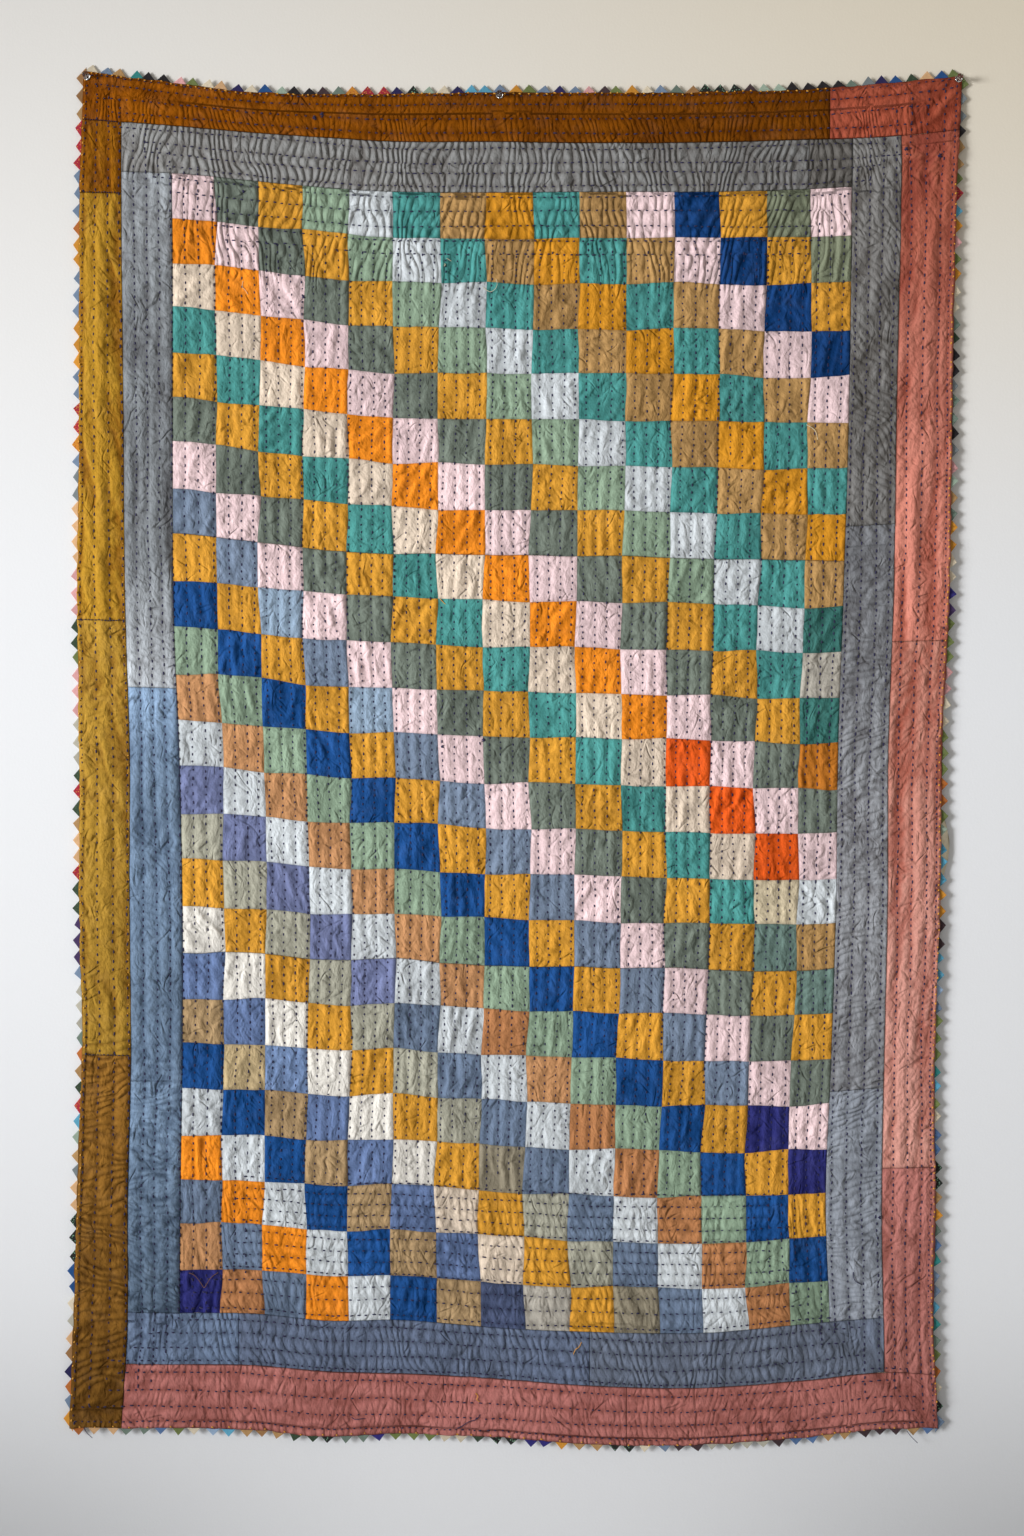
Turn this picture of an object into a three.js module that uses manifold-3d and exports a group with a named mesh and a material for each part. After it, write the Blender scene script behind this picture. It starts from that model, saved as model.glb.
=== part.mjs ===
// A ralli quilt hung flat on a wall by three clear push pins.
//
// Millimetres. +Z is up, +X is to the viewer's right, and the front of the quilt faces -Y. The origin
// is where the middle needle enters the wall, so the wall is the plane y = 0.
//
// The pieced top, the edging of folded points and the backing are three layers. All of them follow one
// lattice, so that they bend alike and never touch. A place on the quilt has two pattern numbers,
// across and down, which are whole numbers on the seams:
//
//   across  0 left edge, 1 left seam, 2 left of field, 3 right of field, 4 right seam, 5 right edge
//   down    0 top edge, 1 top seam, 2 top of field, 3 bottom of field, 4 bottom seam, 5 bottom edge

import * as THREE from 'three';
import { mergeVertices } from 'three/addons/utils/BufferGeometryUtils.js';
import Module from 'manifold-3d';

const wasm = await Module();
wasm.setup();

// Cloth
const TOP_CLOTH = 2.2;
const BACKING_RIM = 1.2;
const BACKING_MIDDLE = 2.5;
const POINT_CLOTH = 0.8;
const POINT_SLOT = 1.6;
const SEAM_GAP = 0.3;
const BACKING_INSET = 1.5;
const QUILT_WIDTH = 1330;
const QUILT_LENGTH = 2060;

// About how wide the outer border is on each side
const BORDER_WIDTHS = { top: 72, bottom: 88, left: 72, right: 82 };

// Folded points of the edging
const POINT_TUCK = 1.5;
const POINT_BASE = 8.5;
const POINT_CORNER = { top: 1, bottom: 1, left: 10, right: 10 };
const POINT_UNEVEN = 0.16;
const POINT_LEAN = 2.2;
const SHORTEST_POINT = 0.02;

// Push pins
const NEEDLE_RADIUS = 0.5;
const NEEDLE_CLEARANCE = 0.35;
const NEEDLE_DEPTH = 5;
const NEEDLE_TAPER = 2.5;
const NEEDLE_SEAT = 7.6;
const GRIP_BORE_RADIUS = 0.85;
const GRIP_BORE_DEPTH = 8;
const GRIP_RIM_RADIUS = 5.3;
const GRIP_SIDES = 12;
const NEEDLE_SIDES = 8;

// How far each line of the pattern stands from the middle pin, at heights down the quilt.
const LENGTHWISE = [
  // below  left edge  left seam  field left  field right  right seam  right edge
  [-34, -631, -573, -501, 536, 609, 703],
  [156, -637, -573, -496, 534, 609, 693],
  [460, -637, -570, -495, 530, 602, 687],
  [764, -640, -567, -494, 521, 597, 682],
  [992, -637, -560, -485, 513, 589, 671],
  [1220, -637, -560, -480, 510, 588, 668],
  [1448, -633, -558, -480, 503, 583, 660],
  [1676, -641, -563, -483, 494, 579, 661],
  [1859, -646, -563, -484, 500, 582, 658],
  [2026, -652, -573, -484, 500, 585, 665],
];

// The height of each crosswise line of the pattern, at places across the quilt.
const CROSSWISE = [
  // x  top edge  top seam  field top  field bottom  bottom seam  bottom edge
  [-637, 38, -36, -114, -1843, -1922, -2020],
  [-493, 19, -47, -119, -1845, -1923, -2020],
  [-379, 5, -57, -130, -1846, -1924, -2023],
  [-257, 2, -65, -141, -1857, -1934, -2033],
  [-151, 2, -71, -147, -1856, -1937, -2029],
  [1, 5, -71, -148, -1868, -1945, -2035],
  [153, 4, -73, -147, -1874, -1956, -2045],
  [305, 4, -72, -147, -1876, -1959, -2046],
  [457, 9, -68, -143, -1863, -1948, -2035],
  [580, 18, -64, -137, -1853, -1936, -2022],
  [700, 31, -52, -132, -1852, -1941, -2020],
];

// The rows of patches hang lower towards the right-hand side of the field.
const FIELD_RIGHT_DROP = 17;
const FIELD_DROP_FROM = 0.73;
const FIELD_DROP_POWER = 0.6;

// Long soft waves and single folds that lift the cloth off the wall.
const PINNED_STAND_OFF = 1.5;
const LOWER_STAND_OFF = 2.5;
const PIN_REACH = 230;
const WAVES = [
  // height  across  slant  phase: crests are "across" apart and lean by "slant" for each mm of height
  [0.8, 610, 0.05, 0.15],
  [0.6, 330, -0.09, 0.4],
];
const FOLDS = [
  // from x, z      to x, z       half width  height
  [653, -150, 645, -480, 13, 3.6],
  [645, -480, 616, -700, 14, 3.2],
  [672, -120, 668, -520, 11, -1.8],
  [634, -1030, 640, -1290, 13, 3],
  [606, -900, 612, -1330, 12, -2],
  [612, -1340, 600, -1790, 15, 2.4],
  [-606, -130, -604, -560, 13, 3.8],
  [-603, -520, -601, -900, 14, 3.4],
  [-606, -860, -600, -1500, 15, 3],
  [-583, -180, -581, -900, 8, -2],
  [672, 2, 560, -140, 16, 2.4],
  [676, -30, 610, -210, 14, -2],
  [-600, 10, -470, -150, 18, 2.2],
  [-120, -2020, 40, -1960, 20, 2],
  [420, -1960, 600, -1990, 22, 2.6],
];

// The backing bulges out past the right edge between two points of its hem. As far as ease above and below
// it, the rim leans towards the wall.
const BULGE = { top: -1090, bottom: -1186, reach: 13, ease: 110, lean: 0.25 };

// Lines of the lattice. Joins in the borders lie on them.
const ACROSS_LINES = [
  0, 0.19, 0.6, 1, 2, 2.0912, 2.2, 2.31, 2.42, 2.53, 2.6306, 2.6878, 2.81, 2.9369, 2.967, 3, 4, 4.29, 4.57,
  4.855, 5,
];
const DOWN_LINES = [
  0, 0.175, 0.6, 1, 2, 2.0194, 2.11, 2.2, 2.291, 2.34, 2.394, 2.452, 2.5, 2.5418, 2.57, 2.598, 2.66, 2.7325,
  2.7753, 2.7897, 2.862, 3, 4, 4.4, 4.865, 5,
];

const OCHRE = '#8a5a0e';
const MUSTARD = '#b08420';
const LEAF_OCHRE = '#9a7016';
const BROWN = '#76500f';
const ROSE = '#a8585a';
const RUST_ROSE = '#a04a38';
const SLATE = '#7f8894';
const BLUE_SLATE = '#5e7698';

const PANELS = [
  // name  colour  from across  to across  from down  to down
  ['patchwork_field', '#a9977c', 2, 3, 2, 3],
  ['inner_top_long', SLATE, 1, 2.9369, 1, 2],
  ['inner_top_end', SLATE, 2.9369, 3, 1, 2],
  ['inner_left_upper', SLATE, 1, 2, 2, 2.452],
  ['inner_left_lower', BLUE_SLATE, 1, 2, 2.452, 3],
  ['inner_right_upper', SLATE, 3, 4, 1, 2.291],
  ['inner_right_middle', SLATE, 3, 4, 2.291, 2.7897],
  ['inner_right_lower', SLATE, 3, 4, 2.7897, 3],
  ['inner_bottom_left', BLUE_SLATE, 1, 2.0912, 3, 4],
  ['inner_bottom_middle', BLUE_SLATE, 2.0912, 2.6306, 3, 4],
  ['inner_bottom_right', BLUE_SLATE, 2.6306, 4, 3, 4],
  ['outer_top_ochre', OCHRE, 0, 2.967, 0, 1],
  ['outer_top_rose', RUST_ROSE, 2.967, 5, 0, 1],
  ['outer_left_short', OCHRE, 0, 1, 1, 2.0194],
  ['outer_left_mustard', MUSTARD, 0, 1, 2.0194, 2.394],
  ['outer_left_ochre', LEAF_OCHRE, 0, 1, 2.394, 2.7753],
  ['outer_left_brown', BROWN, 0, 1, 2.7753, 5],
  ['outer_right_upper', ROSE, 4, 5, 1, 2.394],
  ['outer_right_middle', ROSE, 4, 5, 2.394, 2.862],
  ['outer_right_lower', ROSE, 4, 5, 2.862, 4],
  ['outer_bottom_left', ROSE, 1, 2.6878, 4, 5],
  ['outer_bottom_right', ROSE, 2.6878, 5, 4, 5],
];

const EDGINGS = [
  // name  side  spacing of the points  how far they reach past the edge
  ['edging_top', 'top', 22.3, 11.5],
  ['edging_left', 'left', 26, 8],
  ['edging_right', 'right', 22.2, 11],
  ['edging_bottom', 'bottom', 24.5, 11],
];

const PINS = [
  // name  x  z
  ['left', -626, 28],
  ['middle', 0, 0],
  ['right', 696, 25],
];

// ---- pattern ----

const { clamp } = THREE.MathUtils;
const mix = THREE.MathUtils.lerp;

// A smooth curve through one column of a table whose first column is the key.
function follow(table, column, key) {
  const last = table.length - 1;
  const at = clamp(key, table[0][0], table[last][0]);
  let i = 0;
  while (i < last - 1 && at > table[i + 1][0]) i += 1;
  const slope = (k) => {
    const before = table[Math.max(k - 1, 0)];
    const after = table[Math.min(k + 1, last)];
    return (after[column] - before[column]) / (after[0] - before[0]);
  };
  const span = table[i + 1][0] - table[i][0];
  const t = (at - table[i][0]) / span;
  const rise = 3 * t * t - 2 * t * t * t;
  const start = t * (1 - t) * (1 - t) * span * slope(i);
  const end = t * t * (1 - t) * span * slope(i + 1);
  return mix(table[i][column], table[i + 1][column], rise) + start - end;
}

// The value of a pattern number between the two lines of the table on either side of it.
function between(table, number, key) {
  const line = Math.min(Math.floor(number), 4);
  return mix(follow(table, line + 1, key), follow(table, line + 2, key), number - line);
}

function fieldDrop(across, down) {
  const u = clamp((across - 2 - FIELD_DROP_FROM) / (1 - FIELD_DROP_FROM), 0, 1);
  const v = clamp(down - 2, 0, 1);
  return FIELD_RIGHT_DROP * u * u * (3 - 2 * u) * Math.sin(Math.PI * v) ** FIELD_DROP_POWER;
}

// Where a place of the pattern hangs: x and z.
function place(across, down) {
  let x = 0;
  let z = -QUILT_LENGTH * (down / 5);
  for (let pass = 0; pass < 4; pass += 1) {
    x = between(LENGTHWISE, across, -z);
    z = between(CROSSWISE, down, x) - fieldDrop(across, down);
  }
  return [x, z];
}

// How high a fold stands at x and z: a soft ridge that fades out at both ends.
function foldHeight([x0, z0, x1, z1, halfWidth, height], x, z) {
  const dx = x1 - x0;
  const dz = z1 - z0;
  const length = Math.hypot(dx, dz);
  const t = ((x - x0) * dx + (z - z0) * dz) / (length * length);
  const away = ((x - x0) * dz - (z - z0) * dx) / length;
  const fade = Math.max(0, 1 - (2 * t - 1) ** 4);
  return fade * height * Math.exp(-((away / halfWidth) ** 2) / 2);
}

// How far the back of the quilt stands off the wall at x and z.
function standOff(x, z) {
  const down = clamp(-z / QUILT_LENGTH, 0, 1);
  let nearest = PIN_REACH;
  for (const [, pinX, pinZ] of PINS) nearest = Math.min(nearest, Math.hypot(x - pinX, z - pinZ));
  const free = nearest / PIN_REACH;
  let off = PINNED_STAND_OFF + LOWER_STAND_OFF * Math.sqrt(down) + free;
  for (const [height, across, slant, phase] of WAVES) {
    off += free * height * (1 + Math.sin(2 * Math.PI * ((x + slant * z) / across + phase)));
  }
  for (const fold of FOLDS) off += free * foldHeight(fold, x, z);
  return Math.max(off, PINNED_STAND_OFF);
}

// The lattice: where each crossing of its lines hangs, and how far it stands off the wall.
const lattice = ACROSS_LINES.map((across) => DOWN_LINES.map((down) => {
  const [x, z] = place(across, down);
  return { x, z, off: standOff(x, z) };
}));

function cellOf(lines, number) {
  let i = 0;
  while (i < lines.length - 2 && number > lines[i + 1]) i += 1;
  return [i, clamp((number - lines[i]) / (lines[i + 1] - lines[i]), 0, 1)];
}

// The stand-off on the flat triangles of the lattice.
function latticeOff(across, down) {
  const [i, u] = cellOf(ACROSS_LINES, across);
  const [j, v] = cellOf(DOWN_LINES, down);
  const near = lattice[i][j].off;
  const far = lattice[i + 1][j + 1].off;
  const side = u > v ? lattice[i + 1][j].off : lattice[i][j + 1].off;
  return near + (side - near) * Math.max(u, v) + (far - side) * Math.min(u, v);
}

// ---- solids ----

function geometryOf(points, triangles) {
  const geometry = new THREE.BufferGeometry();
  geometry.setAttribute('position', new THREE.Float32BufferAttribute(points.flat(), 3));
  geometry.setIndex(triangles.flat());
  return geometry;
}

// A sheet on a grid of places. crossing(i, j) gives x, z and the stand-offs of its back and front.
function sheet(columns, rows, crossing) {
  const points = [];
  const triangles = [];
  for (let i = 0; i < columns; i += 1) {
    for (let j = 0; j < rows; j += 1) {
      const { x, z, back, front } = crossing(i, j);
      points.push([x, -front, z], [x, -back, z]);
    }
  }
  const front = (i, j) => 2 * (i * rows + j);
  const back = (i, j) => front(i, j) + 1;
  for (let i = 0; i < columns - 1; i += 1) {
    for (let j = 0; j < rows - 1; j += 1) {
      triangles.push([front(i, j), front(i + 1, j + 1), front(i + 1, j)]);
      triangles.push([front(i, j), front(i, j + 1), front(i + 1, j + 1)]);
      triangles.push([back(i, j), back(i + 1, j), back(i + 1, j + 1)]);
      triangles.push([back(i, j), back(i + 1, j + 1), back(i, j + 1)]);
    }
  }
  const wall = (p, q) => {
    triangles.push([front(...p), front(...q), back(...q)]);
    triangles.push([front(...p), back(...q), back(...p)]);
  };
  for (let i = 0; i < columns - 1; i += 1) {
    wall([i, 0], [i + 1, 0]);
    wall([i + 1, rows - 1], [i, rows - 1]);
  }
  for (let j = 0; j < rows - 1; j += 1) {
    wall([columns - 1, j], [columns - 1, j + 1]);
    wall([0, j + 1], [0, j]);
  }
  return geometryOf(points, triangles);
}

function linesWithin(lines, from, to) {
  const numbered = lines.map((number, index) => ({ number, index }));
  return numbered.filter(({ number }) => number >= from && number <= to);
}

// 1 on the first of the lines, -1 on the last and 0 between them.
function inward(index, count) {
  if (index === 0) return 1;
  return index === count - 1 ? -1 : 0;
}

// A panel of the pieced top between four lines of the pattern, drawn in by half a seam gap.
function panel(fromAcross, toAcross, fromDown, toDown) {
  const columns = linesWithin(ACROSS_LINES, fromAcross, toAcross);
  const rows = linesWithin(DOWN_LINES, fromDown, toDown);
  return sheet(columns.length, rows.length, (i, j) => {
    const { x, z, off } = lattice[columns[i].index][rows[j].index];
    const back = off + BACKING_RIM + POINT_SLOT;
    return {
      x: x + inward(i, columns.length) * SEAM_GAP / 2,
      z: z - inward(j, rows.length) * SEAM_GAP / 2,
      back,
      front: back + TOP_CLOTH,
    };
  });
}

// The backing, thin along its rim behind the points and thick inside them, where the filling lies.
function backing() {
  const columns = ACROSS_LINES.length;
  const rows = DOWN_LINES.length;
  const isRim = (index, count) => index < 2 || index > count - 3;
  return sheet(columns, rows, (i, j) => {
    const { x, z, off } = lattice[i][j];
    const thick = isRim(i, columns) || isRim(j, rows) ? BACKING_RIM : BACKING_MIDDLE;
    const bulges = i === columns - 1 && z < BULGE.top && z > BULGE.bottom;
    // Round the bulge the rim leans a little towards the wall, clear of the points.
    const nearBulge = i === columns - 1 && z < BULGE.top + BULGE.ease && z > BULGE.bottom - BULGE.ease;
    const lean = nearBulge ? BULGE.lean : 0;
    return {
      x: x + inward(i, columns) * BACKING_INSET + (bulges ? BULGE.reach + BACKING_INSET : 0),
      z: z - inward(j, rows) * BACKING_INSET,
      back: off - lean,
      front: off + thick - lean,
    };
  });
}

// A repeatable number from -1 to 1 for one point of the edging.
function uneven(index, salt) {
  const value = Math.sin(index * 12.9898 + salt * 78.233) * 43758.5453;
  return 2 * (value - Math.floor(value)) - 1;
}

// Where the pattern's edge runs on one side, and which way is outward there.
function edgeOf(side, number) {
  const step = 0.01;
  const at = (n) => place(...{ top: [n, 0], bottom: [n, 5], left: [0, n], right: [5, n] }[side]);
  const [x, z] = at(number);
  const [beforeX, beforeZ] = at(Math.max(number - step, 0));
  const [afterX, afterZ] = at(Math.min(number + step, 5));
  const turn = side === 'top' || side === 'right' ? 1 : -1;
  const length = turn * Math.hypot(afterX - beforeX, afterZ - beforeZ);
  return { x, z, outward: [(beforeZ - afterZ) / length, (afterX - beforeX) / length] };
}

// The stand-off a little way inside the edge, for a depth in mm.
function offInside(side, number, depth) {
  const into = Math.max(depth, 0) / BORDER_WIDTHS[side];
  if (side === 'top') return latticeOff(number, into);
  if (side === 'bottom') return latticeOff(number, 5 - into);
  if (side === 'left') return latticeOff(into, number);
  return latticeOff(5 - into, number);
}

// One edging: a comb of points whose base is tucked between the pieced top and the backing.
function edging(side, spacing, reach) {
  const lines = side === 'top' || side === 'bottom' ? ACROSS_LINES : DOWN_LINES;
  const marks = [];
  for (let cell = 0; cell < lines.length - 1; cell += 1) {
    const start = edgeOf(side, lines[cell]);
    const end = edgeOf(side, lines[cell + 1]);
    const length = Math.hypot(end.x - start.x, end.z - start.z);
    const count = Math.max(1, Math.round(length / spacing));
    for (let k = 0; k < count; k += 1) marks.push(mix(lines[cell], lines[cell + 1], k / count));
  }
  marks.push(5);
  const first = cornerMark(side, 0);
  const last = cornerMark(side, 5);
  const isClear = (mark) => mark > first + SHORTEST_POINT && mark < last - SHORTEST_POINT;
  return comb(side, reach, [first, ...marks.filter(isClear), last]);
}

// The pattern number that lies one corner allowance in from an end of a side.
function cornerMark(side, end) {
  const step = end === 0 ? 0.002 : -0.002;
  const corner = edgeOf(side, end);
  let mark = end;
  let here = corner;
  while (Math.hypot(here.x - corner.x, here.z - corner.z) < POINT_CORNER[side]) {
    mark += step;
    here = edgeOf(side, mark);
  }
  return mark;
}

function comb(side, reach, roots) {
  const points = [];
  const triangles = [];
  const add = (number, depth) => {
    const { x, z, outward } = edgeOf(side, number);
    const back = offInside(side, number, depth) + BACKING_RIM + (POINT_SLOT - POINT_CLOTH) / 2;
    const px = x - outward[0] * depth;
    const pz = z - outward[1] * depth;
    points.push([px, -back - POINT_CLOTH, pz], [px, -back, pz]);
    return points.length / 2 - 1;
  };
  const root = roots.map((number) => add(number, POINT_TUCK));
  const base = roots.map((number) => add(number, POINT_BASE));
  const isFlipped = side === 'bottom' || side === 'left';
  // Front and back triangles of one facet, wound for the side it is on.
  const facet = (p, q, r) => {
    const [b, c] = isFlipped ? [r, q] : [q, r];
    triangles.push([2 * p, 2 * b, 2 * c], [2 * p + 1, 2 * c + 1, 2 * b + 1]);
  };
  const wall = (p, q) => {
    const [a, b] = isFlipped ? [q, p] : [p, q];
    triangles.push([2 * a, 2 * b, 2 * b + 1], [2 * a, 2 * b + 1, 2 * a + 1]);
  };
  for (let k = 0; k < roots.length - 1; k += 1) {
    const lean = POINT_LEAN * uneven(k, 1);
    const height = reach * (1 + POINT_UNEVEN * uneven(k, 2));
    const tip = add(mix(roots[k], roots[k + 1], 0.5), -height);
    const { outward } = edgeOf(side, mix(roots[k], roots[k + 1], 0.5));
    for (const index of [2 * tip, 2 * tip + 1]) {
      points[index][0] += outward[1] * lean;
      points[index][2] -= outward[0] * lean;
    }
    facet(root[k], root[k + 1], tip);
    facet(root[k], base[k + 1], root[k + 1]);
    facet(root[k], base[k], base[k + 1]);
    wall(root[k], tip);
    wall(tip, root[k + 1]);
    wall(base[k + 1], base[k]);
  }
  wall(base[0], root[0]);
  wall(root[roots.length - 1], base[roots.length - 1]);
  return geometryOf(points, triangles);
}

// ---- push pins ----

// A turned shape about the Y axis, from its radius and its distance in front of the wall.
function turned(profile, sides) {
  return new THREE.LatheGeometry(profile.map(([radius, front]) => new THREE.Vector2(radius, -front)), sides);
}

// The most that the cloth stands out in front of the wall under a pin's rim.
function clothFront(pinX, pinZ) {
  let most = 0;
  for (let step = 0; step < 8; step += 1) {
    const angle = (Math.PI / 4) * step;
    const x = pinX + GRIP_RIM_RADIUS * Math.cos(angle);
    const z = pinZ + GRIP_RIM_RADIUS * Math.sin(angle);
    most = Math.max(most, latticeOff(...patternAt(x, z)));
  }
  return most + BACKING_RIM + POINT_SLOT + TOP_CLOTH;
}

// The pattern numbers of a place near the top edge.
function patternAt(x, z) {
  let across = 2.5;
  let down = 0.1;
  for (let pass = 0; pass < 60; pass += 1) {
    const [hereX, hereZ] = place(across, down);
    across = clamp(across + (x - hereX) / QUILT_WIDTH, 0, 5);
    down = clamp(down - (z - hereZ) / (2 * BORDER_WIDTHS.top), 0, 5);
  }
  return [across, down];
}

function grip(seat) {
  const profile = [
    [0, GRIP_BORE_DEPTH],
    [GRIP_BORE_RADIUS, GRIP_BORE_DEPTH],
    [GRIP_BORE_RADIUS, 0],
    [GRIP_RIM_RADIUS - 0.3, 0],
    [GRIP_RIM_RADIUS, 0.4],
    [GRIP_RIM_RADIUS, 1.3],
    [4.7, 1.9],
    [3.2, 2.6],
    [2.7, 4],
    [2.8, 6.4],
    [3.3, 9.2],
    [4, 11.4],
    [4.3, 12.4],
    [4.3, 13.7],
    [3.9, 14.3],
    [0, 14.6],
  ];
  return turned(profile.reverse().map(([radius, front]) => [radius, seat + front]), GRIP_SIDES);
}

function needle(seat) {
  const profile = [
    [0, -NEEDLE_DEPTH],
    [NEEDLE_RADIUS, -NEEDLE_DEPTH + NEEDLE_TAPER],
    [NEEDLE_RADIUS, seat + NEEDLE_SEAT],
    [0, seat + NEEDLE_SEAT],
  ];
  return turned(profile.reverse(), NEEDLE_SIDES);
}

// ---- joining and cutting ----

function solidOf(geometry) {
  const bare = new THREE.BufferGeometry();
  bare.setAttribute('position', geometry.getAttribute('position'));
  bare.setIndex(geometry.getIndex());
  const merged = mergeVertices(bare, 1e-4);
  return new wasm.Manifold(new wasm.Mesh({
    numProp: 3,
    vertProperties: new Float32Array(merged.getAttribute('position').array),
    triVerts: new Uint32Array(merged.getIndex().array),
  }));
}

function geometryFrom(solid) {
  const mesh = solid.getMesh();
  const geometry = new THREE.BufferGeometry();
  geometry.setAttribute('position', new THREE.BufferAttribute(new Float32Array(mesh.vertProperties), 3));
  geometry.setIndex(new THREE.BufferAttribute(new Uint32Array(mesh.triVerts), 1));
  return geometry;
}

// The same cloth with a hole for each needle that goes through it.
function pierced(geometry, pins) {
  let solid = solidOf(geometry);
  for (const [, x, z] of pins) {
    const drill = new THREE.CylinderGeometry(
      NEEDLE_RADIUS + NEEDLE_CLEARANCE,
      NEEDLE_RADIUS + NEEDLE_CLEARANCE,
      60,
      NEEDLE_SIDES,
    );
    drill.translate(x, 0, z);
    solid = solid.subtract(solidOf(drill));
  }
  return geometryFrom(solid);
}

// ---- the quilt ----

const quilt = new THREE.Group();

function addNode(name, geometry, color, roughness, metalness, position = [0, 0, 0]) {
  const node = new THREE.Mesh(geometry, new THREE.MeshStandardMaterial({ color, roughness, metalness }));
  node.name = name;
  node.position.set(...position);
  quilt.add(node);
}

const [LEFT_PIN, MIDDLE_PIN, RIGHT_PIN] = PINS;
const PIERCING = {
  outer_top_ochre: [LEFT_PIN, MIDDLE_PIN],
  outer_top_rose: [RIGHT_PIN],
  edging_top: PINS,
};

for (const [name, color, ...bounds] of PANELS) {
  const flat = panel(...bounds);
  addNode(name, PIERCING[name] ? pierced(flat, PIERCING[name]) : flat, color, 0.9, 0);
}

addNode('backing', pierced(backing(), PINS), '#e4d9be', 0.9, 0);

for (const [name, side, spacing, reach] of EDGINGS) {
  const plain = edging(side, spacing, reach);
  addNode(name, PIERCING[name] ? pierced(plain, PIERCING[name]) : plain, '#5c6a66', 0.9, 0);
}

for (const [name, x, z] of PINS) {
  const seat = clothFront(x, z) + SEAM_GAP;
  addNode(`pin_grip_${name}`, grip(seat), '#e8eeee', 0.1, 0, [x, 0, z]);
  addNode(`pin_needle_${name}`, needle(seat), '#b9bcc0', 0.3, 1, [x, 0, z]);
}

export default quilt;
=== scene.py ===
import math

import bpy
import numpy as np
from bpy.props import FloatProperty, FloatVectorProperty, IntProperty, PointerProperty
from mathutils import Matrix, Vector


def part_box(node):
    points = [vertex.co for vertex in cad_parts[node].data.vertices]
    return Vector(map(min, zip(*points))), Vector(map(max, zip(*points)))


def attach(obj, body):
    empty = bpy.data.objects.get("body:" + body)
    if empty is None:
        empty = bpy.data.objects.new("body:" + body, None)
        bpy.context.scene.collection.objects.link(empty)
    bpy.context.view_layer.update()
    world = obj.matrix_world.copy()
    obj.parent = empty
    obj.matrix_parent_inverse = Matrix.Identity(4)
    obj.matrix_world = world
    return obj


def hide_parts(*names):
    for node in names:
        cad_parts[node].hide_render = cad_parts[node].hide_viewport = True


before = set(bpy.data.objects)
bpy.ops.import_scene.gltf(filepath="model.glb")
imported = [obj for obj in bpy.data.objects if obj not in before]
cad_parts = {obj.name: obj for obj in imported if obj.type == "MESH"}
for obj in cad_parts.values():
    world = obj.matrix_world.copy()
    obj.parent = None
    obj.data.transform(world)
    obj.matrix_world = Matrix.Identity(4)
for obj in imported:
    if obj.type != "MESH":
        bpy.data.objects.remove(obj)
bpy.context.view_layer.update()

bl_info = {
    "name": "Ralli quilt",
    "version": (1, 0, 0),
    "blender": (4, 5, 0),
    "location": "3D View > Sidebar > Quilt",
    "description": "Builds a hand-stitched ralli quilt hung on a wall by three clear push pins",
    "category": "Add Mesh",
}

# The quilt's own sizes are in millimetres, as a maker measures them, and meshes are in metres.
#
# A place on the quilt has two pattern numbers, whole on the seams:
#   across  0 left edge, 1 left seam, 2 left of field, 3 right of field, 4 right seam, 5 right edge
#   down    0 top edge, 1 top seam, 2 top of field, 3 bottom of field, 4 bottom seam, 5 bottom edge
MM = 0.001

# How far each line of the pattern stands from the middle pin, at heights down the quilt.
LENGTHWISE = np.array([
    # below  left edge  left seam  field left  field right  right seam  right edge
    (-34, -631, -573, -501, 536, 609, 703),
    (156, -637, -573, -496, 534, 609, 693),
    (460, -637, -570, -495, 530, 602, 687),
    (764, -640, -567, -494, 521, 597, 682),
    (992, -637, -560, -485, 513, 589, 671),
    (1220, -637, -560, -480, 510, 588, 668),
    (1448, -633, -558, -480, 503, 583, 660),
    (1676, -641, -563, -483, 494, 579, 661),
    (1859, -646, -563, -484, 500, 582, 658),
    (2026, -652, -573, -484, 500, 585, 665),
], dtype=float)

# The height of each crosswise line of the pattern, at places across the quilt.
CROSSWISE = np.array([
    # x  top edge  top seam  field top  field bottom  bottom seam  bottom edge
    (-637, 38, -36, -114, -1843, -1922, -2020),
    (-493, 19, -47, -119, -1845, -1923, -2020),
    (-379, 5, -57, -130, -1846, -1924, -2023),
    (-257, 2, -65, -141, -1857, -1934, -2033),
    (-151, 2, -71, -147, -1856, -1937, -2029),
    (1, 5, -71, -148, -1868, -1945, -2035),
    (153, 4, -73, -147, -1874, -1956, -2045),
    (305, 4, -72, -147, -1876, -1959, -2046),
    (457, 9, -68, -143, -1863, -1948, -2035),
    (580, 18, -64, -137, -1853, -1936, -2022),
    (700, 31, -52, -132, -1852, -1941, -2020),
], dtype=float)

# The same lines on the quilt laid flat, from its top left corner.
FLAT_ACROSS = (0, 74, 152, 1148, 1226, 1309)
FLAT_DOWN = (0, 76, 153, 1868, 1947, 2036)
QUILT_WIDTH = FLAT_ACROSS[-1]
QUILT_LENGTH = FLAT_DOWN[-1]

# The rows of patches hang lower towards the right-hand side of the field.
FIELD_RIGHT_DROP = 17
FIELD_DROP_FROM = 0.73
FIELD_DROP_POWER = 0.6

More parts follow.
